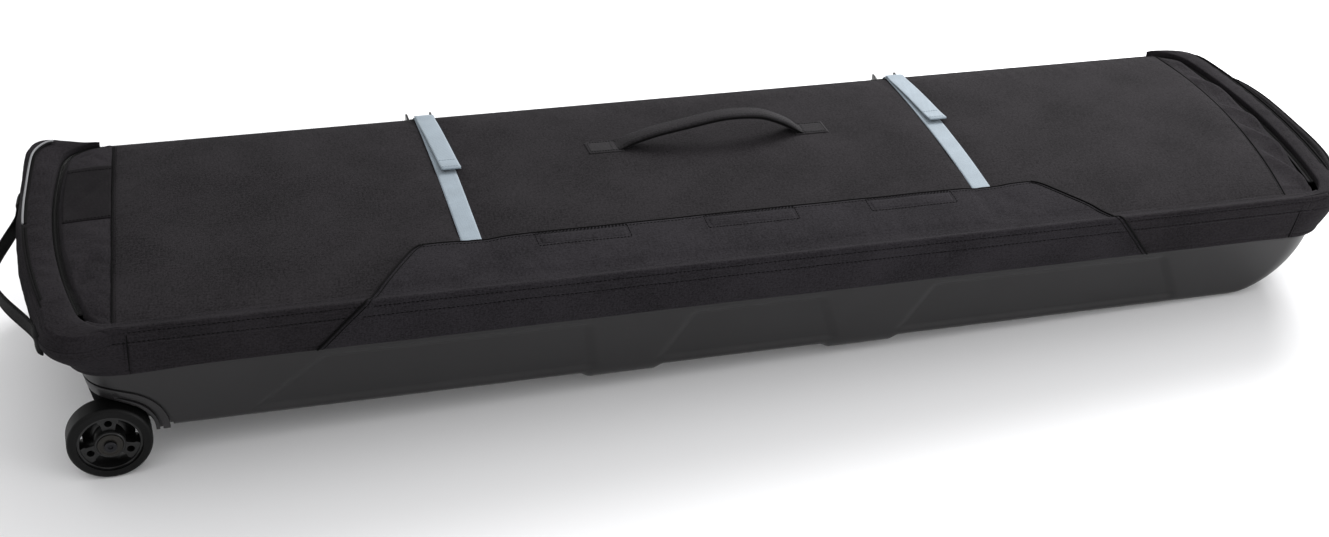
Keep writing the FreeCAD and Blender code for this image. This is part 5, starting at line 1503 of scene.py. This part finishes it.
def floor_pad():
    """The quilted pad on the tray's floor."""
    lo, hi = level_box("floor_pad")
    gx, gy, edge = plan_grid(lo[0], hi[0], 190, lo[1], hi[1], 48)
    quilt = np.minimum(np.abs(((gx - lo[0] + 72.5) % 145) - 72.5), 40)
    channel = np.maximum(1.6 * np.exp(-(quilt / 3.5) ** 2), 1.6 * np.exp(-(gy / 3.5) ** 2))
    z = hi[2] - 3.5 * (1 - smooth(0, 9, edge)) - channel + 0.5 * roughs(gx, gy, 50, 21.0)
    low = np.stack([gx, gy, np.full(gx.shape, lo[2] + 0.1)], axis=2)
    obj = put("floor_pad_quilt", [closed_sheet(np.stack([gx, gy, z], axis=2), low)], "foam", "base", "floor_pad",
              slot="foam", uv_axes=[0, 1])


# ------------------------------------------------------------------ moulded and metal parts
def groove_cutter(side):
    """A ring-shaped tool that sinks a groove into the housing's outer face."""
    rows = []
    edges = [[(-880.0, WHEEL_Z + r)] + wheel_arc(r, np.linspace(0, 90, 37)) + [(WHEEL_X + r, -140.0)]
             for r in (60.0, 63.6)]
    for low, high in zip(*edges):
        rows.append([(x, side * (tray_side(z) - 4.5 if deep else 235.0), z)
                     for (x, z), deep in ((low, True), (high, True), (high, False), (low, False))])
    last = (len(rows) - 1) * 4
    faces = grid(len(rows), 4, wrap=True) + [(0, 1, 2, 3), tuple(last + k for k in (3, 2, 1, 0))]
    return make("groove_cutter", rows, faces, None, smooth_on=False)


def low_posts(x, y, z):
    """Keeps a buckle's posts under the lid's edge and rounds them over."""
    return x, y, z if z < 52 else 52 + (z - 52) * 0.42


def turned_ring(y, side, profile):
    """A turned ring round a wheel's axis from (radius, outward) pairs."""
    a = np.linspace(0, 2 * np.pi, 48, endpoint=False)
    rings = []
    for r, out in profile:
        x, z = WHEEL_X + r * np.cos(a), WHEEL_Z + r * np.sin(a)
        rings.append(np.stack([x, np.full(48, side * y + side * out), z], axis=1))
    return rings, ring_faces(len(rings), 48)


DISH = ((12.0, -2.5), (17.0, -3.0), (24.0, -7.0), (30.5, -12.0), (31.5, -12.6), (31.5, -14.2), (30.0, -14.0),
        (23.0, -9.2), (12.0, -5.0))
CAP = ((15.4, -3.0), (15.4, 0.6), (16.0, 1.2), (17.4, 1.2), (18.2, 0.4), (18.2, -3.0))
WASHERS = (((8.6, -0.6), (8.6, 0.25), (9.6, 0.4), (10.2, 0.1), (10.2, -0.6)),
           ((12.6, -0.6), (12.6, 0.3), (13.4, 0.4), (14.2, 0.2), (14.2, -0.6)))


def wheel_parts(end, side):
    """One wheel's housing, hub, dish, cap and axle, and the materials of its tyre and bearings."""
    body = BODY_OF["wheel_hub_" + end]
    worked("wheel_housing_" + end, "housing", 1.0, "base", cutter=groove_cutter(side))
    worked("wheel_hub_" + end, "hub", 0.9, body, slot="moulded_plastic")
    for name, y, profiles, mat, on, slot, crease in (
            ("wheel_dish_", 185.0, [DISH], "hub", body, "moulded_plastic", 35),
            ("wheel_cap_", 200.0, [CAP], "hub", body, "moulded_plastic", 50),
            ("washer_rings_", 202.0, WASHERS, "washer", "base", SLOT_OF["hub_washer_near"], 50)):
        put(name + end, [turned_ring(y, side, p) for p in profiles], mat, on, slot=slot, creased=crease)
    for node, mat, bevel in (("axle_bolt_", "bolt", 0.5), ("hub_washer_", "washer", 0.3),
                             ("axle_insert_", "steel", 0.3)):
        worked(node + end, mat, bevel, "base")
    for node, mat in (("tyre_", "tyre"), ("wheel_bearings_", "steel")):
        mesh = frame["nodes"][node + end].data
        mesh.materials.clear()
        mesh.materials.append(M[mat])
        mesh.polygons.foreach_set("use_smooth", [True] * len(mesh.polygons))
        mesh.set_sharp_from_angle(angle=math.radians(32))


# ------------------------------------------------------------------ build
settle_lid()
lid_cover()
end_cover("lid_wheel_end_cover", wheel_seam, "near_stub_w", "far_stub_w", wheel_end_height,
          "lid_wheel_end_panel")
end_cover("lid_nose_end_cover", nose_seam, "far_stub_n", "near_stub_n", nose_end_height,
          "lid_nose_end_panel")
seam_line("lid_seam_wheel_end", wheel_seam, 1)
seam_line("lid_seam_nose_end", nose_seam, -1)
pocket_patch()
band("near_wall_cloth", "near_b", "near_a", 55.0, "near_wall", 1.0)
band("far_wall_cloth", "far", "far", 55.0, "far_wall", 2.0, sags=False)
band("wheel_end_cloth", "near_stub_w", "far_stub_w", 60.0, "wheel_end_wall", 3.0, shoulder=-1)
band("nose_end_cloth", "far_stub_n", "near_stub_n", 60.0, "nose_end_wall", 4.0, shoulder=1)
upright_seams()
hinge_cloth()
cover_flap()
grip_boxes()
compression_strap("wheel_end", 0.03, 48.0)
compression_strap("nose_end", 0.06, 60.0)
zip_parts()
piping("wheel_end_piping_cord", -1, "reflect", ["wheel_end_piping"], "grey_piping", 28, 216)
# The near half of the wheel-end piping is the same light trim, painted black where it catches less light: painted
# shade.
piping("wheel_end_piping_painted_shade_tail", -1, "cord", [], "black_fabric", -168, 28)
piping("nose_end_piping_cord", 1, "cord", ["nose_end_piping"], "black_fabric", -168, 206)
carry_handle()
end_loop("wheel_end_handle", -1, "black_web", False)
end_loop("nose_end_handle", 1, "handle", True)
tray()
lip_tape()
floor_pad()
wheel_parts("near", -1)
wheel_parts("far", 1)
for end in ("wheel_end", "nose_end"):
    worked("buckle_socket_" + end, "buckle", 1.4, "base")
    worked("buckle_prongs_" + end, "buckle", 1.0, "lid", edit=low_posts)
    worked("buckle_webbing_" + end, "black_web", 0.5, "base")
for hand in ("left", "right"):
    for node, bevel in (("zip_slider_", 0.6), ("zip_pull_", 0.5)):
        worked(node + hand, "zip_metal", bevel, BODY_OF[node + hand])

# ------------------------------------------------------------------ stage, light, camera
floor_mat, _, floor_bsdf = nodes_of("pale_floor")
floor_bsdf.inputs["Base Color"].default_value = (0.86, 0.86, 0.87, 1)
floor_bsdf.inputs["Roughness"].default_value = 0.9
floor_mesh = bpy.data.meshes.new("floor")
floor_mesh.from_pydata([(-14, -9, 0), (14, -9, 0), (14, 14, 0), (-14, 14, 0)], [], [(0, 1, 2, 3)])
floor_mesh.materials.append(floor_mat)
floor = bpy.data.objects.new("floor", floor_mesh)
bpy.context.scene.collection.objects.link(floor)

world = bpy.data.worlds.new("studio")
world.use_nodes = True
sky = world.node_tree
sky_split = sky.nodes.new("ShaderNodeSeparateXYZ")
sky.links.new(coords_of(sky, "Generated"), sky_split.inputs[0])
sky_tone = ramp(sky, sky_split.outputs["Z"], ((0.0, 0.28), (0.45, 0.55), (0.85, 1.0)))
sky.links.new(sky_tone, sky.nodes["Background"].inputs["Color"])
sky.nodes["Background"].inputs["Strength"].default_value = 1.2
bpy.context.scene.world = world
bpy.context.scene.view_settings.view_transform = "Standard"


def soft_light(name, place, target, size, power):
    data = bpy.data.lights.new(name, "AREA")
    data.shape = "RECTANGLE"
    data.size, data.size_y = size
    data.energy = power
    light = bpy.data.objects.new(name, data)
    light.location = place
    light.rotation_euler = (Vector(target) - Vector(place)).to_track_quat("-Z", "Y").to_euler()
    bpy.context.scene.collection.objects.link(light)


soft_light("key_light", (1.7, 1.5, 1.7), (0.55, 0, 0.1), (1.6, 1.2), 95)
soft_light("front_light", (2.6, -2.6, 0.9), (0.6, 0, 0.05), (1.8, 1.2), 52)

# The camera stands off the near wheel end, turned, raised and rolled a little.
A, E, ROLL = math.radians(-18.94), math.radians(32.58), math.radians(4.16)
FOCAL_PX, FRAME_PX = 2056.0, 1329.0
EYE = Vector((-816.4, -2224.7, 1423.8))
back = Vector((math.sin(A) * math.cos(E), -math.cos(A) * math.cos(E), math.sin(E)))
right = Vector((math.cos(A), math.sin(A), 0))
up = back.cross(right)
c, s = math.cos(ROLL), math.sin(ROLL)
facing = Matrix((right * c + up * s, -right * s + up * c, back)).transposed()
camera_data = bpy.data.cameras.new("camera")
camera_data.sensor_width = 36.0
camera_data.sensor_fit = "HORIZONTAL"
camera_data.lens = FOCAL_PX * camera_data.sensor_width / FRAME_PX
camera_data.clip_start, camera_data.clip_end = 0.05, 60
camera = bpy.data.objects.new("camera", camera_data)
camera.matrix_world = STANCE @ (Matrix.Translation(EYE / 1000) @ facing.to_4x4())
bpy.context.scene.collection.objects.link(camera)
bpy.context.scene.camera = camera
